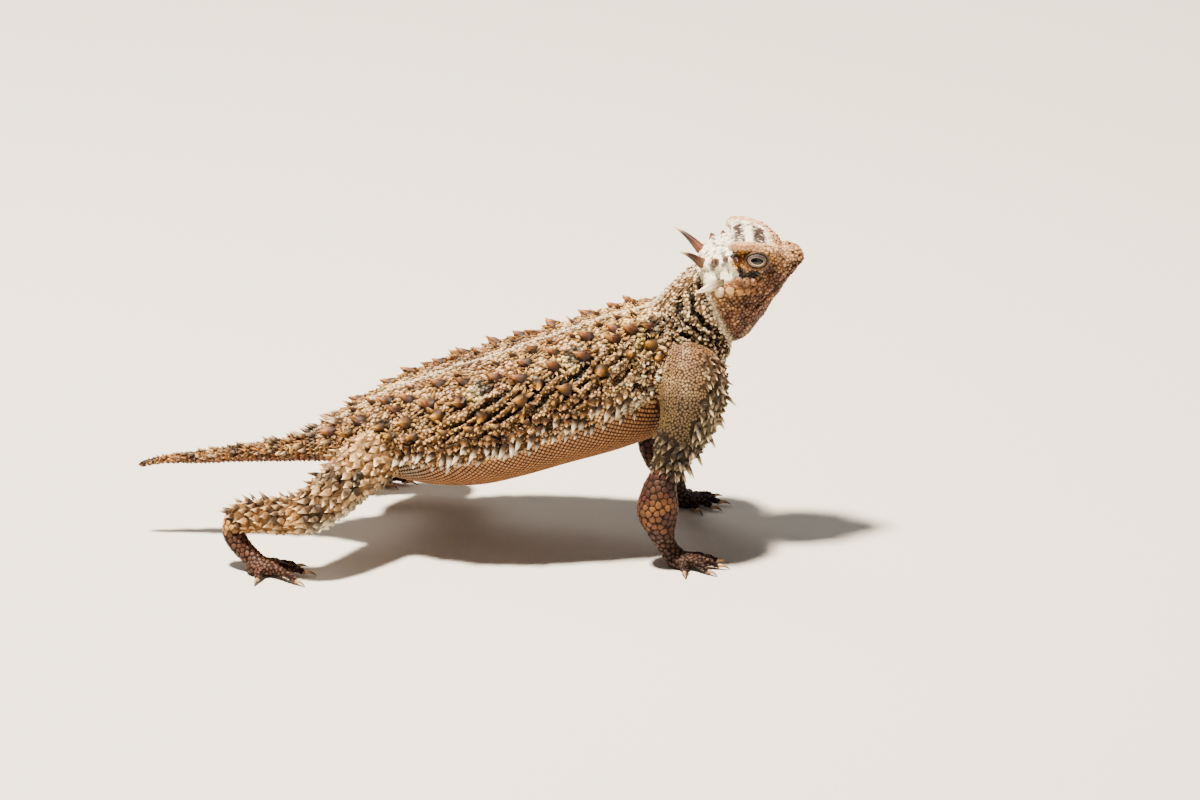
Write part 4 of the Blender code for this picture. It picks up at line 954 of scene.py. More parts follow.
def sculptSkin(skin):
    # Folds, lumps, the mouth, the nostrils and the eye sockets
    points, normals = meshArrays(skin.data)
    found = locate(points)
    body, head = found["share"][0], found["share"][1]
    wave, shows = flankFolds(found)
    height = body * shows * (foldForm["deep"] * wave - 0.32)
    wave, shows = neckFolds(found)
    height += body * shows * (0.9 * wave - 0.4)
    lump, shows = lumps(found)
    height += body * shows * (0.95 * lump ** 0.8 - 0.6)
    height += (body * step(found["degrees"], -15, 30) * step(found["at"], 6, 8) * 0.28
               * mottle(found["flat"], 2.3, 11))
    h, out, k = found["h"], np.abs(found["out"]), found["k"]
    height -= head * 0.45 * near(k, mouthHeight(h), 0.4) * step(h, 6.0, 7.4)
    edge, reach = browEdge(h)
    recess = near(k, edge - 1.9, 0.8) * step(h, 6.4, 7.6) * (1 - step(h, 12.4, 13.6)) * step(out, 4.4, 5.2)
    height -= head * 0.7 * recess
    height -= head * 0.85 * near(h, headMarks["notch"], 0.5) * step(k, 3.2, 4.4) * near(out, 2.1, 1.4)
    height -= head * 0.28 * headLines(found)
    height += head * 0.22 * mottle(points, 1.5, 12) * (1 - step(k, 3.8, 4.8) * (1 - step(h, 12, 14)))
    height -= 0.6 * (1 - step(nostrilGap(h, out, k), 0.2, 0.6))
    points = points + normals * height[:, None]
    for side in ("right", "left"):
        ahead, upward, gaze = eyeAxes(side)
        rel = points - eyeRowCentre[side]
        x, y, z = rel @ ahead, rel @ upward, rel @ gaze
        wide, tall = eyeForm["outline"]
        inside = (1 - step(np.hypot(x / wide, y / tall), 0.85, 1.15)) * (z > 0.8)
        reach = np.linalg.norm(rel, axis=1)
        close = (reach < 4.5) & (inside > 0)
        target = eyeRowCentre[side] + rel / reach[:, None] * 2.2
        points[close] = (points * (1 - inside[:, None]) + target * inside[:, None])[close]
    points[:, 2] = np.maximum(points[:, 2], 0.0)
    skin.data.vertices.foreach_set("co", inMetres(points).ravel())
    skin.data.update()
    return points


skin = addSkin()
sculptSkin(skin)
skinPoints, skinNormals = meshArrays(skin.data)
skinFound = locate(skinPoints)
skinTint = markings(skinFound)
# Painted shade: the skin between the scales is darkened by these shares, as if in shadow
creaseShade = {"limbs": 0.22, "trunk": 0.28, "face": 0.6, "crown": 0.88}  # darkness between the scales
onTrunk, onHead = skinFound["region"] == 0, skinFound["region"] == 1
crease = np.where(onTrunk, creaseShade["trunk"], creaseShade["limbs"])
crease = np.where(onHead, np.where(skinFound["k"] > 5, creaseShade["crown"], creaseShade["face"]), crease)
skinTint = skinTint * crease[:, None]
bellyShare = onTrunk * (1 - step(skinFound["degrees"], -20, -12)) * step(skinFound["at"], 6, 7)
skinTint = paint(skinTint, palette["bellyLine"], bellyShare * 0.92)
skin.data.materials.append(skinMaterial)
skin.data.shade_smooth()
finishPiece(skin, fleshNodes)
print("skin made", len(skin.data.polygons), "quads")

skinTree = BVHTree.FromPolygons([Vector(p) for p in skinPoints],
                                [tuple(p.vertices) for p in skin.data.polygons])


def onSkin(points, reach=2.5):
    # Nearest points of the skin, its normals there, and which points found it within reach
    places = np.zeros((len(points), 3))
    normals = np.zeros((len(points), 3))
    kept = np.zeros(len(points), bool)
    for i, point in enumerate(points):
        place, normal, _, _ = skinTree.find_nearest(Vector(point), reach)
        if place is not None:
            places[i] = place
            normals[i] = normal
            kept[i] = True
    return places, normals, kept


# Scale shapes, modelled once each: x along the lie, y across, z out of the skin
def shapeArrays(name):
    # Reads the primitive in hand as triangles and removes it
    obj = bpy.context.active_object
    bpy.ops.object.mode_set(mode="EDIT")
    bpy.ops.mesh.select_all(action="SELECT")
    bpy.ops.mesh.remove_doubles(threshold=0.001)
    bpy.ops.mesh.normals_make_consistent(inside=False)
    bpy.ops.mesh.quads_convert_to_tris()
    bpy.ops.object.mode_set(mode="OBJECT")
    points = np.array([tuple(v.co) for v in obj.data.vertices])
    faces = np.array([tuple(p.vertices) for p in obj.data.polygons])
    mesh = obj.data
    bpy.data.objects.remove(obj)
    bpy.data.meshes.remove(mesh)
    print("shape", name, len(faces), "faces")
    return points, faces


def grownShape(name, sides, steps, reshape=None):
    # A filled circle extruded in steps of forward shift, rise and size
    bpy.ops.mesh.primitive_circle_add(vertices=sides, radius=1, fill_type="NGON", location=(0, 0, 0))
    bpy.ops.object.mode_set(mode="EDIT")
    bpy.ops.mesh.select_all(action="SELECT")
    for forward, rise, size in steps:
        bpy.ops.mesh.extrude_region_move(TRANSFORM_OT_translate={"value": (forward, 0, rise)})
        if size <= 0.02:
            bpy.ops.mesh.merge(type="CENTER")
        else:
            bpy.ops.transform.resize(value=(size, size, 1))
    bpy.ops.object.mode_set(mode="OBJECT")
    obj = bpy.context.active_object
    if reshape:
        for vertex in obj.data.vertices:
            vertex.co = reshape(vertex.co)
    return shapeArrays(name)


def sunk(depth):
    def move(point):
        return Vector((point.x, point.y, point.z - depth))
    return move


def ridged(point):
    # Sinks a cone's root and raises ridges down its sides
    turn = math.atan2(point.y, point.x)
    swell = 1 + 0.2 * math.cos(turn * 5) * (1 - 0.6 * min(point.z, 1))
    return Vector((point.x * swell, point.y * swell, point.z - 0.18))


def leafLike(point):
    # Turns a low grown disc into a pointed, keeled scale that lies along x
    x, y, z = point
    pointed = 1 - 0.8 * max(x, 0) ** 1.1
    keel = 0.42 * (1 - min(abs(y) * 1.6, 1)) * (1 if z > 0.4 else 0)
    lift = 0.6 * max(x + 0.1, 0) * (1 if z > 0.1 else 0)
    reach = 1.1 if x < 0 else 1.5 if z > 0.1 else 0.9
    return Vector((x * reach, y * pointed, z - 0.55 + keel + lift))


shapes = {
    "grain": grownShape("grain", 6, [(0, 0.5, 1.0), (0, 0.32, 0.66)], sunk(0.35)),
    "granule": grownShape("granule", 7, [(0, 0.55, 1.0), (0, 0.3, 0.8), (0, 0.2, 0.55)], sunk(0.35)),
    "keeled": grownShape("keeled", 8, [(0, 0.5, 1.02), (0, 0.14, 0.7)], leafLike),
    "spiny": grownShape("spiny", 6, [(0.12, 0.5, 0.82), (0.22, 0.5, 0.6), (0.3, 0.5, 0.01)], sunk(0.3)),
    "plate": grownShape("plate", 7, [(0, 0.5, 1.0), (0, 0.22, 0.84)], sunk(0.35)),
    "lump": grownShape("lump", 8, [(0, 0.4, 1.0), (0, 0.3, 0.84), (0, 0.2, 0.66), (0, 0.1, 0.5)], sunk(0.3)),
    "diamond": grownShape("diamond", 4, [(0, 0.6, 1.0), (0, 0.3, 0.84)], sunk(0.3)),
    "spine": grownShape("spine", 8, [(0.03, 0.28, 0.86), (0.05, 0.26, 0.74), (0.08, 0.28, 0.62),
                                     (0.12, 0.26, 0.45), (0.14, 0.2, 0.01)], sunk(0.16)),
    "fang": grownShape("fang", 6, [(0.02, 0.25, 0.95), (0.04, 0.27, 0.84), (0.06, 0.27, 0.7),
                                   (0.1, 0.25, 0.48), (0.12, 0.2, 0.01)], sunk(0.16)),
    "tubercle": grownShape("tubercle", 10, [(0.0, 0.2, 1.0), (0.03, 0.2, 0.8), (0.06, 0.2, 0.7),
                                            (0.09, 0.22, 0.58), (0.12, 0.22, 0.42),
                                            (0.06, 0.16, 0.01)], ridged),
}


def lookRandom(count, low, high):
    return rng.uniform(low, high, count)


bakePatch = 0.0014  # half the width of a scale's patch on the unwrap


def addScales(name, shape, roots, tipFrom=0.3, tipTo=1.0, sharp=38, rough=0.05, fill=0.93):
    # One mesh of many scales: roots hold points, normals, lies, sizes, colours and unwrap places,
    # and for scales that fill their cells how far each reaches in 24 directions
    p, shapeFaces = shapes[shape]
    count = len(roots["points"])
    if count == 0:
        return
    normals = unit(roots["normals"])
    lies = alongSkin(roots["lies"], normals)
    across = np.cross(normals, lies)
    size = roots["size"]
    x, y = size[:, 0:1] * p[None, :, 0], size[:, 1:2] * p[None, :, 1]
    if "cell" in roots:
        turn = np.arctan2(p[:, 1], p[:, 0])
        way = np.round(turn / (2 * math.pi) * 24).astype(int) % 24
        reach = roots["cell"][:, way] * np.hypot(p[:, 0], p[:, 1])[None] * fill
        x, y = reach * np.cos(turn), reach * np.sin(turn)
    z = size[:, 2:3] * p[None, :, 2]
    loose = rough * size.min(1)[:, None]
    x, y, z = (v + rng.normal(0, 1, v.shape) * loose for v in (x, y, z))
    points = (roots["points"][:, None] + lies[:, None] * x[..., None] + across[:, None] * y[..., None]
              + normals[:, None] * z[..., None])
    rise = p[:, 2] + (0.4 * p[:, 0] if shape == "keeled" else 0)
    # Paler towards each scale's top: partly the scales' own cream tips, partly painted highlight
    tipShare = step((rise - rise.min()) / (rise.max() - rise.min()), tipFrom, tipTo)
    level = rise if shape == "keeled" else p[:, 2]
    # Painted shade: each scale darkened towards its foot, where it meets the skin
    footShadeDeepest = 0.26 if shape == "keeled" else 0.09
    foot = footShadeDeepest + (1 - footShadeDeepest) * step((level - level.min()) / (level.max() - level.min()), 0.24, 0.78)
    tipShare = tipShare[None, :, None]
    tint = roots["tint"][:, None] * (1 - tipShare) + roots["tip"][:, None] * tipShare
    tint = tint * foot[None, :, None]
    uv = roots["bake"][:, None] + p[None, :, :2] * bakePatch
    faces = shapeFaces[None] + (np.arange(count) * len(p))[:, None, None]
    points = points.reshape(-1, 3)
    points[:, 2] = np.maximum(points[:, 2], 0.0)
    piece = meshFromArrays(name, points, faces.reshape(-1, 3), tint.reshape(-1, 3), scaleMaterial,
                           uv.reshape(-1, 2), sharp)
    finishPiece(piece)
    print(name, count, "scales", count * len(shapeFaces), "faces")


def cellReach(points, normals, lies, widest):
    # How far each scale reaches in 24 directions before it meets its neighbours
    tree = KDTree(len(points))
    for i, point in enumerate(points):
        tree.insert(point, i)
    tree.balance()
    around = np.array([[j for _, j, _ in tree.find_n(point, 8)][1:] for point in points])
    normals = unit(normals)
    lies = alongSkin(lies, normals)
    across = np.cross(normals, lies)
    gap = points[around] - points[:, None]
    x, y = np.einsum("nij,nj->ni", gap, lies), np.einsum("nij,nj->ni", gap, across)
    ways = np.linspace(0, 2 * math.pi, 24, endpoint=False)
    toward = np.cos(ways[None, :, None] - np.arctan2(y, x)[:, None])
    reach = np.where(toward > 0.15, np.hypot(x, y)[:, None] / 2 / np.maximum(toward, 0.15), 9.0)
    return np.minimum(reach.min(2), np.broadcast_to(widest, len(points))[:, None])


def makeRoots(points, normals, lies, length, width, height, tintChange=0.12, tipShare=0.35,
              tipColour=palette["frill"], found=None):
    # Sizes and colours of scales at roots on the skin
    found = found or locate(points)
    count = len(points)
    tint = markings(found) * (1 + rng.normal(0, tintChange, (count, 1)))
    tipShare = np.asarray(tipShare, float) * np.clip(tint.max(1, keepdims=True) * 6, 0.12, 1)
    tip = tint * (1 - tipShare) + np.asarray(tipColour) * tipShare
    size = np.stack([np.broadcast_to(v, count) for v in (length, width, height)], 1)
    return {"points": points, "normals": normals, "lies": lies, "size": size, "tint": tint, "tip": tip,
            "bake": bakePlace(found)}


def choose(roots, mask):
    return {key: value[mask] for key, value in roots.items()}


# Candidate roots for the irregular scales: two random places on every face of the skin
faceCorners = np.array([tuple(p.vertices)[:4] if len(p.vertices) > 3 else tuple(p.vertices) + (p.vertices[0],)
                        for p in skin.data.polygons])
corner = skinPoints[faceCorners]
candidates = []
for _ in range(2):
    mixing = rng.uniform(0.05, 0.95, (2, len(faceCorners), 1))
    candidates.append((corner[:, 0] * (1 - mixing[0]) + corner[:, 1] * mixing[0]) * (1 - mixing[1])
                      + (corner[:, 3] * (1 - mixing[0]) + corner[:, 2] * mixing[0]) * mixing[1])
candidates = np.concatenate(candidates)
candidateNormals = np.tile(unit(skinNormals[faceCorners].mean(1)), (2, 1))
candidateFound = locate(candidates)
print("candidates", len(candidates))


def pick(found, mask):
    return {key: (value[:, mask] if key == "share" else value[mask]) for key, value in found.items()}


def scatter(mask, spacing):
    # Roots spread evenly over part of the skin, no two closer than the spacing at the first
    which = np.nonzero(mask)[0]
    tree = KDTree(len(which))
    for i, index in enumerate(which):
        tree.insert(candidates[index], i)
    tree.balance()
    free = np.ones(len(which), bool)
    kept = []
    for i in rng.permutation(len(which)):
        if free[i]:
            kept.append(which[i])
            for _, j, _ in tree.find_range(candidates[which[i]], float(spacing[which[i]])):
                free[j] = False
    return np.array(kept)


def trunkLies(found):
    ahead = np.stack([np.interp(found["at"], trunkStations, stationFrames[1][:, i]) for i in range(3)], 1)
    return -ahead


headBack = headPoint(-1, 0, 0)[0] - headPoint(0, 0, 0)[0]


# Large spines of the back, each in a ring of smaller pointed scales
largeSpines = {
    "measured": [(7.2, 60), (-3.7, 72), (14.7, 76), (24.8, 69), (-9.8, 63), (-13.7, 69), (25.7, 30),
                 (19, 27), (-4.6, 36), (3.7, 27), (11, 30), (-0.1, 45), (-19.1, 54), (-24.7, 51), (32.8, 57),
                 (35.4, 33)],
    "rows": [(79, 3.9, 1.7, 0.62), (66, 5.6, 2.0, 0.95), (51, 6.0, 2.1, 1.0), (35, 5.2, 1.6, 0.9),
             (19, 5.0, 1.2, 0.75)],
    "thinAbove": 73, "thin": 0.72, "ochreBelow": (50, 36),
    "fromX": -24.0, "toX": 37.0, "apart": 3.0, "lean": 26, "ring": 9,
    "cone": "#6c4430", "coneTip": "#bb9068", "ochre": "#8a6036", "ochreTip": "#d3a96e",
}


def spineSpots():
    spots = []
    for side in (-1, 1):
        taken = []
        for x, degrees in largeSpines["measured"]:
            tall = 2.1 if 40 < degrees < 75 else 1.6
            shifted = x + rng.uniform(-0.3, 0.3) * (side > 0)
            taken.append((shifted, degrees, tall * rng.uniform(0.9, 1.1), 1.05))
        for row, (degrees, spacing, tall, radius) in enumerate(largeSpines["rows"]):
            for x in np.arange(largeSpines["fromX"] + (row % 2) * spacing / 2, largeSpines["toX"], spacing):
                x = x + rng.uniform(-0.7, 0.7)
                turn = degrees + rng.uniform(-3, 3)
                girth = girthAtX(x)
                gaps = [math.hypot(x - t[0], (turn - t[1]) / 90 * girth) for t in taken]
                if min(gaps) > largeSpines["apart"]:
                    grow = 1.2 if x < -14 else 1.0
                    taken.append((x, turn, tall * grow * rng.uniform(0.8, 1.15),
                                  radius * rng.uniform(0.85, 1.1)))
        spots += [(side,) + t for t in taken]
    return spots


def leaned(normals, toward, degrees):
    lean = np.radians(degrees)
    return normals * np.cos(lean) + alongSkin(toward, normals) * np.sin(lean)


spots = spineSpots()
spotPoints = np.concatenate([trunkPoint(placeAtX(x), degrees if side > 0 else 180 - degrees)
                             for side, x, degrees, tall, radius in spots])
spotRoots, spotNormals, spotKept = onSkin(spotPoints)
spotKept &= locate(spotRoots)["region"] == 0
spotRoots, spotNormals = spotRoots[spotKept], spotNormals[spotKept]
spotSizes = np.array([(tall, radius) for _, _, _, tall, radius in spots])[spotKept]
spineTree = KDTree(len(spotRoots))
for i, point in enumerate(spotRoots):
    spineTree.insert(point, i)
spineTree.balance()


def spineGap(points, region):
    # Distance of trunk points from the nearest large spine, in radii of that spine
    gap = np.full(len(points), 9.0)
    for i in np.nonzero(region == 0)[0]:
        _, owner, distance = spineTree.find(points[i])
        gap[i] = distance / spotSizes[owner, 1]
    return gap


def spineMoatShade(gap):
    # Painted shade: darkness of the moat round a large spine, as if in the spine's shadow
    return 1 - 0.6 * near(gap, 1.55, 0.45)


setTint(skin.data, skinTint * spineMoatShade(spineGap(skinPoints, skinFound["region"]))[:, None])
candidateGap = spineGap(candidates, candidateFound["region"])


def addBackSpines():
    found = locate(spotRoots)
    tall, radius = spotSizes.T
    tailward = trunkLies(found)
    thin = found["degrees"] > largeSpines["thinAbove"]
    roots = makeRoots(spotRoots, leaned(spotNormals, tailward, largeSpines["lean"]), tailward, radius * 1.25,
                      radius * 1.2, tall + 0.3, 0.1, 0.6, found=found)
    ochre = step(found["degrees"], *largeSpines["ochreBelow"])[:, None]
    cone, coneTip, pale, paleTip = (deepened(largeSpines[key])
                                    for key in ("cone", "coneTip", "ochre", "ochreTip"))
    vary = 1 + rng.normal(0, 0.14, (len(tall), 1))
    roots["tint"] = (cone * (1 - ochre) + pale * ochre) * vary
    roots["tip"] = (coneTip * (1 - ochre) + paleTip * ochre) * vary
    addScales("back_spines", "tubercle", choose(roots, ~thin), 0.45, 1.0, 34, 0.06)
    roots["size"][:, :2] *= largeSpines["thin"]
    addScales("crest_spines", "spine", choose(roots, thin), 0.3, 0.9, 34, 0.06)
    ringPoints, ringLies, ringOwner = [], [], []
    for i, (root, normal) in enumerate(zip(spotRoots, spotNormals)):
        first = unit(np.cross(normal, (0.2, 0.9, 0.3)))
        second = np.cross(normal, first)
        offset = rng.uniform(0, 2)
        for turn in np.linspace(0, 2 * math.pi, largeSpines["ring"], endpoint=False) + offset:
            turn += rng.uniform(-0.15, 0.15)
            out = first * math.cos(turn) + second * math.sin(turn)
            ringPoints.append(root + out * radius[i] * rng.uniform(1.2, 1.45))
            ringLies.append(out)
            ringOwner.append(i)
    ringRoots, ringNormals, kept = onSkin(np.array(ringPoints))
    found = locate(ringRoots)
    kept &= np.abs(ringRoots[:, 1]) > 0.75
    sizes = lookRandom(len(ringRoots), 0.75, 1.25) * np.array([radius[i] for i in ringOwner])
    lies = np.array(ringLies)
    roots = makeRoots(ringRoots, leaned(ringNormals, lies, 44), lies, sizes * 0.45, sizes * 0.42, sizes * 1.1,
                      0.2, 0.4, palette["backPale"], found)
    addScales("spine_rings", "spiny", choose(roots, kept), 0.4, 0.9, 38, 0.1)


addBackSpines()

# Pale stripe down the middle of the back: two staggered rows of small keeled scales
stripeForm = {"from": 5.6, "to": 18.4, "pitch": 0.46, "apart": 0.2, "size": (0.4, 0.28, 0.36)}


def addStripe():
    along = np.arange(np.interp(stripeForm["from"], trunkStations, stationLength),
                      np.interp(stripeForm["to"], trunkStations, stationLength), stripeForm["pitch"])
    at = np.interp(along, stationLength, trunkStations)
    points = trunkPoint(at, 90.0)
    points[:, 1] += np.where(np.arange(len(at)) % 2, 1, -1) * stripeForm["apart"]
    roots, normals, kept = onSkin(points)
    found = locate(roots)
    made = makeRoots(roots, normals, trunkLies(found), *stripeForm["size"], 0.05, 0.0, found=found)
    made["tint"] = palette["stripe"] * (1 + rng.normal(0, 0.05, (len(roots), 1)))
    made["tip"] = made["tint"]
    addScales("back_stripe", "keeled", choose(made, kept))


addStripe()

# Fringe of flat pointed scales along each flank, two rows, each scale under a brown knob
fringeForm = {
    "rows": [(1, -14.5, 30.5, 1.6, 2.1, 1.15, 62), (-9, -12.0, 29.0, 1.7, 1.3, 0.8, 60)],
    "lean": 16, "colour": "#f2e4ca", "root": "#7c5434", "flat": 0.5, "knob": (0.8, 0.75, 0.9),
}


def addFringe():
    points, outs, tall, wide, above = [], [], [], [], []
    for degrees, first, last, spacing, length, radius, droop in fringeForm["rows"]:
        for side in (-1, 1):
            for x in np.arange(first, last, spacing):
                x = x + rng.uniform(-0.4, 0.4)
                turn = degrees + rng.uniform(-4, 4)
                points.append(trunkPoint(placeAtX(x), turn if side > 0 else 180 - turn)[0])
                above.append(trunkPoint(placeAtX(x), turn + 4 if side > 0 else 176 - turn)[0])
                sink = math.radians(droop + rng.uniform(-16, 16))
                outs.append((rng.uniform(-0.35, 0.15), side * math.cos(sink), -math.sin(sink)))
                grow = rng.choice([0.55, 0.75, 0.95, 1.1, 1.2])
                tall.append(length * grow)
                wide.append(radius * rng.uniform(0.85, 1.1))
    roots, normals, kept = onSkin(np.array(points))
    found = locate(roots)
    kept &= found["region"] == 0
    outs, tall, wide = unit(np.array(outs)), np.array(tall), np.array(wide)
    tailward = trunkLies(found)
    axis = leaned(outs, tailward, fringeForm["lean"])
    flatWay = np.cross(axis, normals)
    made = makeRoots(roots, axis, np.cross(flatWay, axis), wide * fringeForm["flat"], wide * 0.7, tall + 0.4,
                     0.06, 0.0, found=found)
    pale = lookRandom(len(roots), 0.65, 1.0)[:, None]
    made["tint"] = made["tint"] * 0.3 + deepened(fringeForm["root"]) * 0.7
    made["tip"] = np.tile(linearColour(fringeForm["colour"]), (len(roots), 1)) * pale
    addScales("flank_fringe", "fang", choose(made, kept), 0.3, 0.72, 38, 0.08)
    roots, normals, kept = onSkin(np.array(above))
    found = locate(roots)
    kept &= found["region"] == 0
    long, broad, high = fringeForm["knob"]
    made = makeRoots(roots, leaned(normals, outs, 38), outs, wide * long, wide * broad, wide * high, 0.2, 0.5,
                     found=found)
    made["tint"] = made["tint"] * 0.5 + palette["knob"] * 0.5
    addScales("fringe_knobs", "tubercle", choose(made, kept), 0.5, 1.0, 34, 0.13)


addFringe()

# Irregular scales: spacing in millimetres, shares of it for width and height, share of small spikes
# with their height and lean, change of colour, pale tip, how far a scale fills its cell, edge angle
smooth = {"spiny": 0.0, "spike": (1.0, 1.0), "lean": 0}
patchForm = {
    "back": {"spacing": 0.6, "size": (0.46, 0.6), "tall": (0.4, 0.9), "spiny": 0.5, "spike": (1.1, 2.3),
             "lean": 34, "vary": 0.32, "tip": 0.3, "fill": 0.92, "sharp": 50},
    "flank": {"spacing": 0.5, "size": (0.46, 0.6), "tall": (0.4, 0.9), "spiny": 0.24, "spike": (0.9, 2.0),
              "lean": 34, "vary": 0.3, "tip": 0.24, "fill": 0.92, "sharp": 50},
    "neck": {"spacing": 0.6, "size": (0.46, 0.62), "tall": (0.4, 1.0), "spiny": 0.45, "spike": (1.1, 2.3),
             "lean": 40, "vary": 0.3, "tip": 0.4, "fill": 0.92, "sharp": 50},
    "face": {**smooth, "spacing": 0.5, "size": (0.48, 0.6), "tall": (0.35, 0.85), "vary": 0.2, "tip": 0.12,
             "fill": 0.9, "sharp": 50},
    "snout": {**smooth, "spacing": 0.54, "size": (0.5, 0.62), "tall": (0.5, 1.3), "vary": 0.26, "tip": 0.16,
              "fill": 0.88, "sharp": 60, "rough": 0.09},
    "crown": {**smooth, "spacing": 0.5, "size": (0.5, 0.6), "tall": (0.2, 0.4), "vary": 0.1, "tip": 0.05,
              "fill": 0.94, "sharp": 38},
    "temple": {**smooth, "spacing": 0.85, "size": (0.5, 0.6), "tall": (0.2, 0.28), "vary": 0.05, "tip": 0.05,
               "fill": 1.0, "sharp": 38},
}
trunkOnly = (candidateFound["region"] == 0) & (candidateFound["at"] > 6.0) & (candidateGap > 0.95)
trunkOnly &= (np.abs(candidates[:, 1]) > 0.55) | (candidateFound["degrees"] < 0)


def addPatch(name, mask, shape="grain", lies=None):
    # Covers part of the skin with scales of one kind and, among them, small spikes
    form = patchForm[name]
    spacing = form["spacing"] * (1 + 0.18 * mottle(candidates, 2.0, 20))
    kept = scatter(mask, spacing)
    here = pick(candidateFound, kept)
    count = len(kept)
    lies = trunkLies(here) if lies is None else np.tile(lies, (count, 1))
    lies = lies + rng.normal(0, 0.25, (count, 3))
    spiny = rng.random(count) < form["spiny"]
    size = spacing[kept] * lookRandom(count, *form["size"])
    tall = size * np.where(spiny, lookRandom(count, *form["spike"]), lookRandom(count, *form["tall"]))
    normals = leaned(candidateNormals[kept], lies, np.where(spiny, form["lean"], 0)[:, None])
    roots = makeRoots(candidates[kept], normals, lies, size * np.where(spiny, 0.8, 1.05),
                      size * np.where(spiny, 0.7, 1.0), tall, form["vary"], form["tip"], found=here)
    roots["tint"] *= spineMoatShade(candidateGap[kept])[:, None]
    roots["tip"] *= spineMoatShade(candidateGap[kept])[:, None]
    roots["cell"] = cellReach(candidates[kept], candidateNormals[kept], lies, spacing[kept] * 0.8)
    addScales(name + "_granules", shape, choose(roots, ~spiny), 0.3, 1.0, form["sharp"],
              form.get("rough", 0.05), form["fill"])
    spikes = choose(roots, spiny)
    spikes.pop("cell")
    addScales(name + "_spikes", "spiny", spikes, 0.3, 1.0, 38, 0.1)


def eyeGap(points):
    # How far out points lie from the middle of the nearer eye's opening, in outline widths
    gap = np.full(len(points), 9.0)
    for side in ("right", "left"):
        ahead, upward, gaze = eyeAxes(side)
        rel = points - eyeRowCentre[side]
        wide, tall = eyeForm["outline"]
        here = np.hypot(rel @ ahead / wide, rel @ upward / tall)
        gap = np.where((rel @ gaze > 0) & (here < gap), here, gap)
    return gap


def addIrregularScales():
    found = candidateFound
    degrees, at = found["degrees"], found["at"]
    body = trunkOnly & (at < 17.0)
    addPatch("back", body & (degrees > 46))
    addPatch("flank", body & (degrees <= 46) & (degrees > -13))
    addPatch("neck", trunkOnly & (at >= 17.0))
    h, out, k = found["h"], np.abs(found["out"]), found["k"]
    head = (found["region"] == 1) & (eyeGap(candidates) > 1.12)
    for name in hornForm["rows"]:
        for side in ("right", "left"):
            base, ahead, length, radius = hornAxis(name, side)
            head &= np.linalg.norm(candidates - base, axis=1) > radius + 0.15
    temple = (k > 5.6) & (k < 8.4) & (h > 0.8) & (h < 6.6) & (out > 5.5)
    edge, reach = browEdge(h)
    crown = (k > edge - 1.4) & (h > 6.5) & (h < 14) & (out < reach - 0.4)
    crown |= (k > 8.0) & (h < 8)
    snout = (h > 12.8) & (k > 1.6) & ~crown
    addPatch("face", head & ~temple & ~crown & ~snout, "grain", headBack)
    addPatch("snout", head & snout, "granule", headBack)
    addPatch("crown", head & ~temple & crown, "grain", headBack)
    addPatch("temple", head & temple, "plate", headBack)


addIrregularScales()

# Cream frills of the shoulder and knobby clumps above the fringe
knobForm = {
    "frills": [(35.2, 3, 0.75), (37.5, -18, 0.7), (30.4, -3, 0.8), (32.8, -3, 0.75), (28.7, -5, 0.8),
               (27.1, -7, 0.75), (34.0, 14, 0.6), (31.0, 9, 0.65), (36.6, 24, 0.6), (38.4, 8, 0.7),
               (39.6, 30, 0.65), (40.6, -8, 0.7), (41.2, 18, 0.65), (37.6, 42, 0.6), (40.0, 46, 0.6)],
    "cluster": 9, "spread": 1.0, "clumpApart": 1.3, "clump": (0.35, 0.8),
}


def addKnobs():
    points, sizes = [], []
    for side in (-1, 1):
        for x, degrees, radius in knobForm["frills"]:
            for _ in range(knobForm["cluster"]):
                turn = degrees + rng.normal(0, 3.0)
                points.append(trunkPoint(placeAtX(x + rng.normal(0, knobForm["spread"])),
                                         turn if side > 0 else 180 - turn)[0])
                sizes.append(radius * rng.uniform(0.4, 0.8))
    roots, normals, kept = onSkin(np.array(points))
    found = locate(roots)
    kept &= (found["region"] == 0) | (found["share"][0] > 0.2)
    sizes = np.array(sizes)
    lies = trunkLies(found) + rng.normal(0, 0.5, (len(roots), 3))
    made = makeRoots(roots, leaned(normals, lies, 30), lies, sizes * 1.1, sizes * 0.9, sizes * 1.5, 0.12, 0.5,
                     palette["stripe"], found)
    made["tint"] = made["tint"] * 0.45 + palette["frill"] * 0.5
    addScales("shoulder_frills", "spiny", choose(made, kept), 0.3, 1.0, 38, 0.14)
    found = candidateFound
    lump, shows = lumps(found)
    low, high = foldForm["clumpBand"]
    mask = trunkOnly & (lump > 0.75) & (shows > 0.35) & (found["degrees"] > low + 2)
    kept = scatter(mask, np.full(len(candidates), knobForm["clumpApart"]))
    here = pick(found, kept)
    size = lookRandom(len(kept), *knobForm["clump"])
    down = trunkLies(here) * 0.6 + np.array([0.0, 0.0, -1.0]) + rng.normal(0, 0.3, (len(kept), 3))
    made = makeRoots(candidates[kept], leaned(candidateNormals[kept], down, 30), down, size, size * 0.9,
                     size * lookRandom(len(kept), 0.8, 1.7), 0.25, 0.4, found=here)
    made["tint"] = made["tint"] * 0.6 + palette["knob"] * 0.35
    addScales("flank_knobs", "tubercle", made, 0.45, 1.0, 34, 0.13)


addKnobs()

def trunkRoots(points):
    # The points' places on the trunk's skin, with the normals and what is known of each
    roots, normals, kept = onSkin(np.concatenate(points), 1.6)
    here = locate(roots)
    kept &= here["region"] == 0
    return roots[kept], normals[kept], pick(here, kept), kept.sum()


# Net of small diamond scales on the belly
bellyForm = {"pitch": 1.0, "around": 1.2, "from": 5.7, "to": 16.6, "highest": -9.0, "size": 0.37}


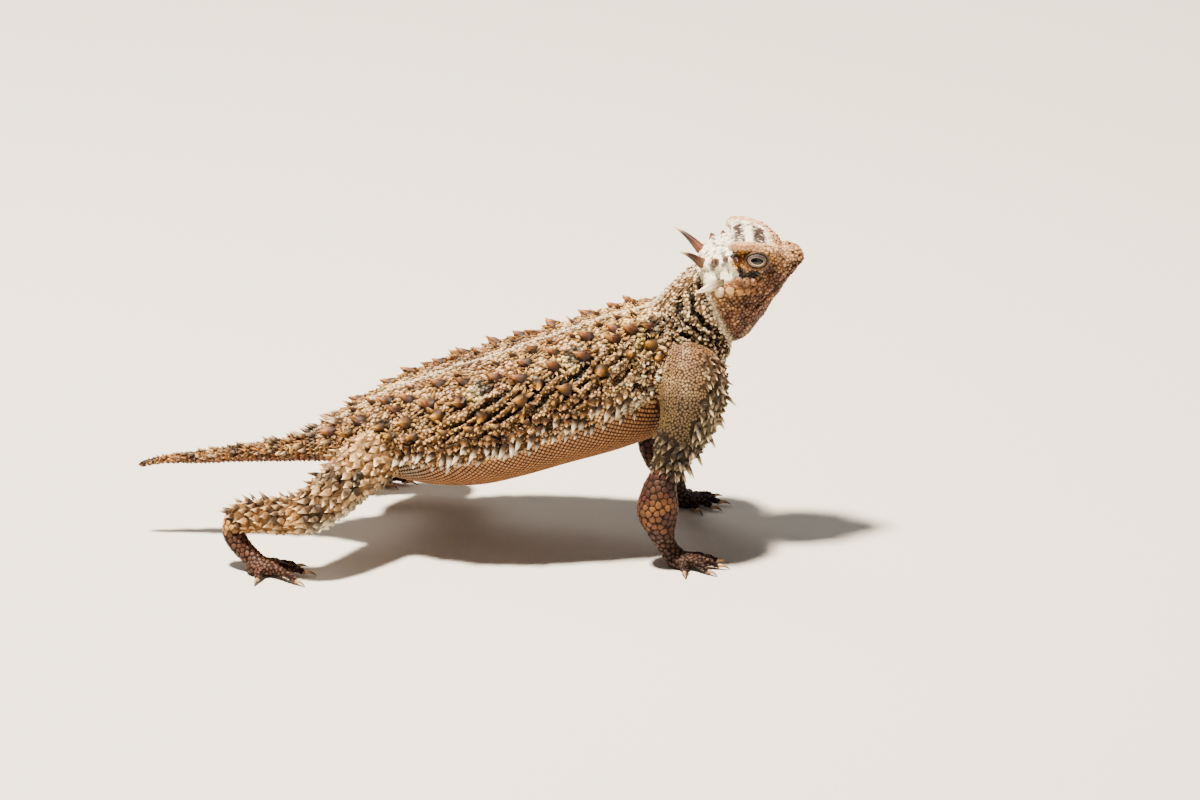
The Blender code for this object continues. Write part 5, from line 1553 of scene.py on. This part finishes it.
def addBellyScales():
    points = []
    pitch = bellyForm["pitch"]
    along = np.arange(np.interp(bellyForm["from"], trunkStations, stationLength),
                      np.interp(bellyForm["to"], trunkStations, stationLength), pitch / 2)
    for row, at in enumerate(np.interp(along, stationLength, trunkStations)):
        turns = np.linspace(-180 - bellyForm["highest"], bellyForm["highest"], 401)
        line = trunkPoint(np.full(401, at), turns)
        length = np.concatenate([[0], np.cumsum(np.linalg.norm(np.diff(line, axis=0), axis=1))])
        length -= length[200]
        places = (np.arange(-40, 40) + (row % 2) / 2) * pitch * bellyForm["around"]
        places = places[np.abs(places) < length[-1]]
        points.append(np.stack([np.interp(places, length, line[:, i]) for i in range(3)], 1))
    roots, normals, here, count = trunkRoots(points)
    size = pitch * bellyForm["size"] * lookRandom(count, 0.95, 1.0)
    made = makeRoots(roots, normals, trunkLies(here), size, size * bellyForm["around"], size * 0.4, 0.1, 0.1,
                     found=here)
    addScales("belly_scales", "diamond", made, 0.6, 1.0, 38, 0.03)


tailForm = {"pitch": 0.85, "fromX": -59.5, "toX": -22.5, "jitter": 0.14}


def addTailScales():
    points = []
    for row, x in enumerate(np.arange(tailForm["fromX"], tailForm["toX"], tailForm["pitch"])):
        girth = float(np.interp(placeAtX(x), trunkStations, (stationFrames[3] + stationFrames[4]) * math.pi))
        count = max(int(girth / 0.85), 6)
        turns = (np.arange(count) + (row % 2) * 0.5) * 360 / count + rng.normal(0, 40 / count, count)
        points.append(trunkPoint(placeAtX(x + rng.normal(0, tailForm["jitter"], count)), turns))
    roots, normals, here, count = trunkRoots(points)
    size = lookRandom(count, 0.45, 0.64)
    tall = np.where(here["degrees"] > -10, lookRandom(count, 0.45, 0.9), 0.35)
    lies = trunkLies(here)
    made = makeRoots(roots, leaned(normals, lies, 22), lies, size * 0.72, size * 0.85, tall, 0.3, 0.5,
                     found=here)
    addScales("tail_scales", "keeled", made, 0.6, 1.0)
    spiny = (rng.random(count) < 0.2) & (here["degrees"] > 5) & (here["at"] > 0.6)
    wide = np.interp(here["at"], trunkStations, stationFrames[3])
    tall = (0.6 + 0.35 * np.minimum(wide, 4)) * lookRandom(count, 0.8, 1.2)
    made = makeRoots(roots, leaned(normals, lies, 34), lies, tall * 0.3, tall * 0.36, tall, 0.18, 0.5,
                     found=here)
    made["tint"] = made["tint"] * 0.6 + palette["backDark"] * 0.4
    addScales("tail_spines", "fang", choose(made, spiny), 0.3, 0.9)


# Scales of the limbs by zone, a later zone over an earlier one. Places along the limb, turn from its
# facing edge, spacing, then size, height, lean, share of pale tip
limbZones = {
    "arm": [
        ("fine", "grain", (0.3, 3.2), (0, 181), 0.42, 0.58, 0.45, 0, 0.08),
        ("edge", "keeled", (0.9, 4.0), (0, 58), 1.25, 0.52, 1.3, 28, 0.6),
        ("edge", "keeled", (2.5, 4.0), (0, 181), 1.3, 0.54, 1.0, 20, 0.85),
        ("shield", "plate", (4.0, 7.3), (0, 181), 0.95, 0.54, 0.34, 0, 0.03),
        ("hand", "grain", (7.3, 30), (0, 181), 0.62, 0.56, 0.6, 0, 0.1),
    ],
    "leg": [
        ("fine", "grain", (0.3, 1.6), (0, 181), 0.56, 0.56, 0.4, 0, 0.12),
        ("pointed", "keeled", (1.2, 4.2), (0, 181), 1.4, 0.58, 1.1, 22, 0.85),
        ("pointed", "keeled", (4.2, 7.5), (0, 181), 1.2, 0.58, 1.1, 22, 0.8),
        ("foot", "plate", (7.5, 9.8), (0, 181), 0.8, 0.54, 0.45, 0, 0.05),
        ("toe", "grain", (9.8, 30), (0, 181), 0.6, 0.56, 0.6, 0, 0.08),
    ],
}


def limbLies(found, limb):
    track, radii, places, directions = limbTracks[limb]
    return np.stack([np.interp(found[limb], places, directions[:, i]) for i in range(3)], 1)


def addLimbScales():
    for index, limb in enumerate(limbNames):
        zones = limbZones[limb.split("_")[1]]
        mine = (candidateFound["region"] == 2 + index) & (candidates[:, 2] > 0.12)
        at, turn = candidateFound[limb], np.abs(candidateFound[limb + "_turn"])
        zone = np.full(len(candidates), -1)
        spacing = np.full(len(candidates), 9.0)
        for number, (_, _, (first, last), (low, high), apart, *_) in enumerate(zones):
            inZone = mine & (at >= first) & (at < last) & (turn >= low) & (turn < high)
            zone[inZone] = number
            spacing[inZone] = apart
        spacing = spacing * (1 + 0.2 * mottle(candidates, 1.6, 31))
        kept = scatter(zone >= 0, spacing)
        cells = cellReach(candidates[kept], candidateNormals[kept],
                          limbLies(pick(candidateFound, kept), limb), spacing[kept] * 0.8)
        for name, shape in dict.fromkeys((name, shape) for name, shape, *_ in zones):
            keeled = shape == "keeled"
            numbers = [n for n, row in enumerate(zones) if row[0] == name]
            chosen = np.isin(zone[kept], numbers)
            these = kept[chosen]
            size, height, lean, tip = (np.array([row[i] for row in zones])[zone[these]] for i in (5, 6, 7, 8))
            here = pick(candidateFound, these)
            count = len(these)
            size = size * spacing[these] * lookRandom(count, 0.88, 1.08)
            lies = limbLies(here, limb)
            if keeled:
                lies = lies + rng.normal(0, 0.22, (count, 3))
            made = makeRoots(candidates[these], leaned(candidateNormals[these], lies, lean[:, None]), lies,
                             size * 1.05, size * 0.9, size * height * lookRandom(count, 0.75, 1.3),
                             0.3 if keeled else 0.1, tip[:, None], palette["armEdge"], here)
            if not keeled:
                made["cell"] = cells[chosen]
            elif limb.endswith("arm"):
                made["tint"] *= 0.8
            addScales(limb + "_" + name, shape, made, 0.5 if keeled else 0.35, 0.95, 45, 0.07,
                      0.9)


# Spines of the limbs: first and last place, rows, turns from the front, the front's direction, length
# and radius
limbSpineForm = [
    ("arm", 0.9, 3.6, 7, (-48, -16, 16, 48), (1, 0, 0.2), 2.4, 0.8),
    ("arm", 2.7, 3.7, 2, (80, 115, 150), (1, 0, 0.2), 1.9, 0.75),
    ("leg", 1.5, 3.4, 5, (-50, -10, 30), (-0.3, 0, 1), 2.3, 0.85),
    ("leg", 4.7, 7.4, 6, (-55, -15, 25), (0, 0, 1), 2.0, 0.8),
]


def addLimbSpines():
    for index, limb in enumerate(limbNames):
        points, normals, lies, tall, wide = [], [], [], [], []
        for kind, start, end, count, turns, front, length, radius in limbSpineForm:
            if not limb.endswith(kind):
                continue
            for row, at in enumerate(np.linspace(start, end, count)):
                x, y, z, thick = blendRows(limbForm[limb], at)[0]
                ahead, behind = blendRows(limbForm[limb], [at + 0.1, at - 0.1])[:, :3]
                along = unit(ahead - behind)
                first = np.array(front, float)
                first = unit(first - along * (first @ along))
                second = np.cross(along, first)
                for turn in turns:
                    turn = turn if limb.startswith("left") else -turn
                    angle = math.radians(turn + (8 if row % 2 else -8) + rng.uniform(-7, 7))
                    out = first * math.cos(angle) + second * math.sin(angle)
                    points.append(np.array([x, y, z]) + out * thick)
                    normals.append(out)
                    lies.append(along)
                    tall.append(length * rng.uniform(0.75, 1.15))
                    wide.append(radius * rng.uniform(0.85, 1.1))
        roots, _, kept = onSkin(np.array(points), 1.4)
        here = locate(roots)
        kept &= here["region"] == 2 + index
        lies, tall, wide = np.array(lies), np.array(tall), np.array(wide)
        made = makeRoots(roots, leaned(unit(np.array(normals)), lies, 38), lies, wide * 0.55, wide * 0.75,
                         tall, 0.15, 0.55, palette["armEdge"], here)
        if limb.endswith("leg"):
            made["tint"] = made["tint"] * 0.4 + palette["backDark"] * 0.6
        addScales(limb + "_spines", "fang", choose(made, kept), 0.3, 0.95, 38, 0.08)


addBellyScales()
addTailScales()
addLimbScales()
addLimbSpines()

# Pointed shields as root h, k, out, tip h, k, out, radius and colours; then the shields under the cheek,
# the cheek's knobs and the scales along the lips
faceForm = {
    "shields": [
        (8.3, 10.2, 6.4, 7.9, 11.2, 6.8, 1.1, "#c99c80", "#dcb79c"),
        (4.2, 5.1, 6.9, -0.6, 6.3, 10.0, 1.55, "#dcc49e", "#f8ecd2"),
    ],
    "lips": [(h, -1.5 + (h - 7.0) * 0.257 + above, 0.36)
             for above in (0.5, -0.55) for h in np.arange(7.4, 17.6, 0.78)],
    "knobs": [(6.6, 5.0, 0.85), (7.7, 4.3, 1.0), (8.9, 3.6, 0.85), (9.9, 2.9, 0.65), (7.5, 3.0, 0.6),
              (8.6, 2.4, 0.6), (5.9, 4.3, 0.55), (9.9, 4.0, 0.45)],
    "plates": [(2.6, 4.6, 1.15, "#b08a62", "#eedcbc"), (4.5, 4.0, 1.0, "#9a7450", "#c4a078"),
               (6.1, 3.2, 0.85, "#8c6040", "#b88c64"), (7.4, 2.4, 0.7, "#7c5034", "#a07450"),
               (8.5, 1.7, 0.55, "#6e442c", "#8c6246")],
}


def headSurface(h, k, side):
    middle, halfTall, halfWide, crown = headSection(np.array([h]))
    level = (k - middle[0]) / halfTall[0]
    power = crown[0] if level > 0 else 2.1
    out = halfWide[0] * (1 - min(abs(level), 0.999) ** power) ** (1 / power)
    return headPoint(h, side * out, k)[0]


def addFace():
    rows = [(side,) + row for side in (-1, 1) for row in faceForm["shields"]]
    points, ends = (np.array([headPoint(row[at], row[0] * row[at + 2], row[at + 1])[0] for row in rows])
                    for at in (1, 4))
    radius = np.array([row[7] for row in rows])
    found = locate(points)
    found["region"][:] = 1
    roots = {"points": points, "normals": unit(ends - points), "lies": np.tile(headBack, (len(rows), 1)),
             "size": np.stack([radius, radius * 0.78, np.linalg.norm(ends - points, axis=1) + 0.3], 1),
             "tint": np.array([deepened(row[8]) for row in rows]),
             "tip": np.array([deepened(row[9], 1.0, 0.95) for row in rows]),
             "bake": bakePlace(found)}
    addScales("head_shields", "fang", roots, 0.3, 0.85, 38, 0.05)
    rows = [(side,) + row for side in (-1, 1) for row in faceForm["plates"]]
    places, outs, kept = onSkin(np.array([headSurface(h, k, side) for side, h, k, *_ in rows]))
    radius = np.array([row[3] for row in rows])
    down = headPoint(-0.6, 0, -1)[0] - headPoint(0, 0, 0)[0]
    made = makeRoots(places, leaned(outs, np.tile(-down, (len(rows), 1)), 10), np.tile(down, (len(rows), 1)),
                     radius, radius * 0.95, radius * 0.55)
    made["tint"], made["tip"] = (np.array([deepened(row[i]) for row in rows]) for i in (4, 5))
    addScales("cheek_shields", "granule", choose(made, kept), 0.45, 1.0, 60, 0.1)
    for name, rows, shape, colour, thick in (("cheek_knobs", faceForm["knobs"], "lump", "knobFace", 0.95),
                                             ("mouth_scales", faceForm["lips"], "plate", "jaw", 0.4)):
        spots = np.array([headSurface(h, k, side) for side in (-1, 1) for h, k, radius in rows])
        radius = np.array([radius for side in (-1, 1) for h, k, radius in rows])
        places, outs, kept = onSkin(spots)
        made = makeRoots(places, outs, np.tile(headBack, (len(places), 1)), radius, radius * 0.92,
                         radius * thick, 0.12)
        made["tint"] = made["tint"] * 0.2 + palette[colour] * 0.8
        made["tip"] = made["tint"] * 1.1
        addScales(name, shape, choose(made, kept), 0.3, 1.0, 60, 0.1)


addFace()


# Lids: rings on the ball of the eye, from the wet rim out to the socket's edge. Each ring has its share
# of the way out, its radius and its colour
lidForm = {
    "rings": [
        (0.00, 2.47, "#0c0807"), (0.05, 2.60, "#2a1c16"), (0.11, 2.74, "#c0a888"), (0.18, 2.80, "#cfb898"),
        (0.26, 2.79, "#8a7460"), (0.38, 2.83, "#a08872"), (0.52, 2.81, "#7c6654"), (0.66, 2.86, "#9a826c"),
        (0.80, 2.85, "#6e5a4a"), (0.88, 2.76, "#30231d"), (0.96, 2.66, "#0c0806"), (1.08, 2.76, "#38281e"),
        (1.24, 2.92, "#80603c"), (1.38, 2.84, "#4c321c"), (1.52, 2.88, "#8c6a44"), (1.64, 2.78, "#543820"),
        (1.74, 2.6, "#6a4a2c"),
    ],
    "sides": 72, "upperLid": "#73666a", "upperShare": 0.8,
}


def addLids():
    for side in ("right", "left"):
        ahead, upward, gaze = eyeAxes(side)
        centre = eyeRowCentre[side]
        sides = lidForm["sides"]
        turns = np.linspace(0, 2 * math.pi, sides, endpoint=False)
        share = np.linspace(0, len(lidForm["rings"]) - 1, 60)
        rows = blendRows([(s, r) + tuple(linearColour(c)) for s, r, c in lidForm["rings"]], share)
        points, tints = [], []
        (ow, oh), (lw, lh) = eyeForm["opening"], eyeForm["outline"]
        for s, radius, *colour in rows:
            wide, tall = min(ow + (lw - ow) * s, 2.35), oh + (lh - oh) * s
            inner = 1 - min(s, 1)
            x = signedPower(np.cos(turns), 1.0 + 0.06 * inner) * wide
            y = signedPower(np.sin(turns), 1.0 + 0.06 * inner) * tall
            y = y * (1 + inner * np.where(y > 0, -0.2, 0.16)) - 0.05 * x * inner
            wrinkle = 0.045 * np.sin(turns * 17 + 3 * np.sin(turns * 3 + s * 5)) * step(np.array(s), 0.2, 0.5)
            r = radius + wrinkle
            z = np.sqrt(np.maximum(r ** 2 - x ** 2 - y ** 2, 0.05))
            points.append(centre + ahead * x[:, None] + upward * y[:, None] + gaze * z[:, None])
            shade = np.tile(np.array(colour), (sides, 1))
            upper = step(np.sin(turns), -0.1, 0.5)[:, None] * (0.22 < s < 0.86)
            shade = (shade * (1 - lidForm["upperShare"] * upper)
                     + linearColour(lidForm["upperLid"]) * lidForm["upperShare"] * upper)
            # Painted shade: the lids darkened overall and more towards their top
            tints.append(shade * (0.66 - 0.2 * np.sin(turns))[:, None] * 0.85)
        points = np.concatenate(points)
        tints = np.concatenate(tints)
        faces = ringFaces(len(rows), sides)
        a, b, c = (points[faces[:, i]] for i in range(3))
        if np.einsum("ij,ij->", np.cross(b - a, c - a), a - centre) < 0:  # the rings face inwards
            faces = faces[:, ::-1]
        lids = meshFromArrays("lids_" + side, points, faces, tints, scaleMaterial)
        finishPiece(lids)


addLids()


def addEyes():
    for side in ("right", "left"):
        ahead, upward, gaze = eyeAxes(side)
        centre = Vector(inMetres(eyeRowCentre[side]))
        bpy.ops.object.select_all(action="DESELECT")
        bpy.ops.mesh.primitive_uv_sphere_add(segments=48, ring_count=32, radius=eyeForm["radius"] * mm,
                                             location=centre)
        eye = bpy.context.active_object
        eye.name = "eyeball_" + side
        bpy.ops.object.transform_apply(location=True, rotation=True, scale=True)
        eye.data.name = eye.name
        points, _ = meshArrays(eye.data)
        rel = points - eyeRowCentre[side]
        angle = np.degrees(np.arccos(np.clip(unit(rel) @ gaze, -1, 1)))
        colour = paint(linearColour(eyeForm["pupil"]), linearColour(eyeForm["iris"]),
                       step(angle, *eyeForm["irisFrom"]))
        colour = paint(colour, linearColour(eyeForm["rim"]), step(angle, *eyeForm["rimFrom"]))
        setTint(eye.data, colour)
        eye.data.materials.append(eyeMaterial)
        eye.data.shade_smooth()
        finishPiece(eye, ["eye_" + side])


addEyes()


def taperedBody(centres, radii, colours, sides):
    # A closed tapering body through centres, from its root to a shut tip
    ahead = unit(np.gradient(centres, axis=0))
    across = np.cross(ahead[0], (0.31, 0.52, 0.79))
    turns = np.linspace(0, 2 * math.pi, sides, endpoint=False)
    points, tints = [], []
    for centre, direction, radius, colour in zip(centres, ahead, radii, colours):
        across = unit(across - direction * (across @ direction))
        third = np.cross(direction, across)
        ring = (np.cos(turns)[:, None] * across + np.sin(turns)[:, None] * third)
        ridge = 1 + 0.03 * np.sin(turns * 5)[:, None]
        points.append(centre + ring * radius * ridge)
        tints.append(np.tile(colour, (sides, 1)))
    points = np.concatenate(points + [[centres[0]], [centres[-1] + ahead[-1] * radii[-1]]])
    tints = np.concatenate(tints + [[colours[0]], [colours[-1]]])
    root, tip = len(points) - 2, len(points) - 1
    last = (len(centres) - 1) * sides
    i = np.arange(sides)
    j = (i + 1) % sides
    ends = [np.stack([np.full(sides, root), j, i], 1), np.stack([last + i, last + j, np.full(sides, tip)], 1)]
    return points, np.concatenate([ringFaces(len(centres), sides)] + ends), tints


def addHorns():
    for name in hornForm["rows"]:
        for side in ("right", "left"):
            base, ahead, length, radius = hornAxis(name, side)
            share = np.linspace(-0.12, 1, hornForm["rings"])
            rise = hornForm["bow"] * length * np.sin(math.pi * np.clip(share, 0, 1))
            centres = base + ahead * (0.3 + length * share)[:, None] + np.array([0, 0, 1]) * rise[:, None]
            radii = radius * (1 - 0.93 * np.clip(share, 0, 1) ** 0.9) * (1 + 0.025 * np.cos(share * 46))
            tip = hornForm["longTip"] if length > hornForm["longFrom"] else hornForm["shortTip"]
            colours = paint(linearColour(hornForm["root"]), linearColour(hornForm["middle"]),
                            step(share, 0.05, 0.4))
            colours = paint(colours, linearColour(tip), step(share, 0.62, 0.92))
            points, faces, tints = taperedBody(centres, radii, colours, hornForm["sides"])
            horn = meshFromArrays("horn_" + name.replace("_horn", "") + "_" + side, points, faces, tints,
                                  hornMaterial)
            finishPiece(horn, [name + "_" + side])


addHorns()


def addClaws():
    for limb in limbNames:
        allPoints, allFaces, allTints, start = [], [], [], 0
        x, y = limbForm[limb][-1][:2]
        middle = np.array([x, y, 0.0])
        for (toeX, toeY), rows in zip(footForm["toes"][limb], toeRows(limb)):
            reach = unit(np.array([toeX, toeY, 0.0]) - middle)
            root = np.array(rows[-1][:3]) - reach * 0.6
            tip = np.array([toeX, toeY, 0.0]) + reach * footForm["clawLength"] * footForm["clawBeyond"]
            tip[2] = 0.14
            share = np.linspace(0, 1, 10)
            centres = root + (tip - root) * share[:, None]
            centres[:, 2] += 0.4 * np.sin(math.pi * share)
            radii = footForm["clawRadius"] * (1 - 0.9 * share ** 1.3)
            colours = paint(linearColour(footForm["clawRoot"]), linearColour(footForm["clawTip"]),
                            step(share, 0.3, 0.9))
            points, faces, tints = taperedBody(centres, radii, colours, 10)
            points[:, 2] = np.maximum(points[:, 2], 0.02)
            allPoints.append(points)
            allFaces.append(faces + start)
            allTints.append(tints)
            start += len(points)
        claws = meshFromArrays(limb + "_claws", np.concatenate(allPoints), np.concatenate(allFaces),
                               np.concatenate(allTints), hornMaterial)
        finishPiece(claws)


addClaws()
print("head, horns and claws made")


# Plain pale floor and soft studio light
studio = {
    "floor": "#d8d3ca", "floorSize": 3.0,
    "lights": [("key", (-0.2, -0.06, 0.95), 0.1, 53.0, "#fff0dc"),
               ("fill", (0.5, -0.85, 0.3), 0.7, 1.2, "#f4efe8"),
               ("rim", (-0.3, 0.6, 0.6), 0.4, 2.5, "#fff8ee")],
    "sky": "#e4e6ea", "skyStrength": 0.18,
}


def addStudio():
    bpy.ops.mesh.primitive_plane_add(size=studio["floorSize"], location=(0, 0, 0))
    floor = bpy.context.active_object
    floor.name = "floor"
    # Matt painted board: even and pale, with a faint cloudiness
    material, tree, shader = newMaterial("paintedBoard", {"Roughness": 0.85})
    place = addNode(tree, "ShaderNodeTexCoord", {})
    cloud = addNode(tree, "ShaderNodeTexNoise", {"Scale": 6.0, "Detail": 2.0},
                    [("Vector", place.outputs["Object"])])
    ramp = addNode(tree, "ShaderNodeMix", {"data_type": "RGBA"}, [("Factor", cloud.outputs["Fac"])])
    tone = linearColour(studio["floor"])
    ramp.inputs["A"].default_value = (*(tone * 0.97), 1)
    ramp.inputs["B"].default_value = (*tone, 1)
    tree.links.new(ramp.outputs["Result"], shader.inputs["Base Color"])
    floor.data.materials.append(material)
    aim = Vector(inMetres((5, 0, 20)))
    for name, place, size, power, colour in studio["lights"]:
        data = bpy.data.lights.new(name, "AREA")
        data.size = size
        data.energy = power
        data.color = linearColour(colour)
        light = bpy.data.objects.new(name, data)
        light.location = place
        light.rotation_euler = (aim - Vector(place)).to_track_quat("-Z", "Y").to_euler()
        bpy.context.scene.collection.objects.link(light)
    world = bpy.data.worlds.new("studio")
    world.use_nodes = True
    background = world.node_tree.nodes["Background"]
    background.inputs["Color"].default_value = (*linearColour(studio["sky"]), 1)
    background.inputs["Strength"].default_value = studio["skyStrength"]
    bpy.context.scene.world = world


addStudio()
print("studio set")
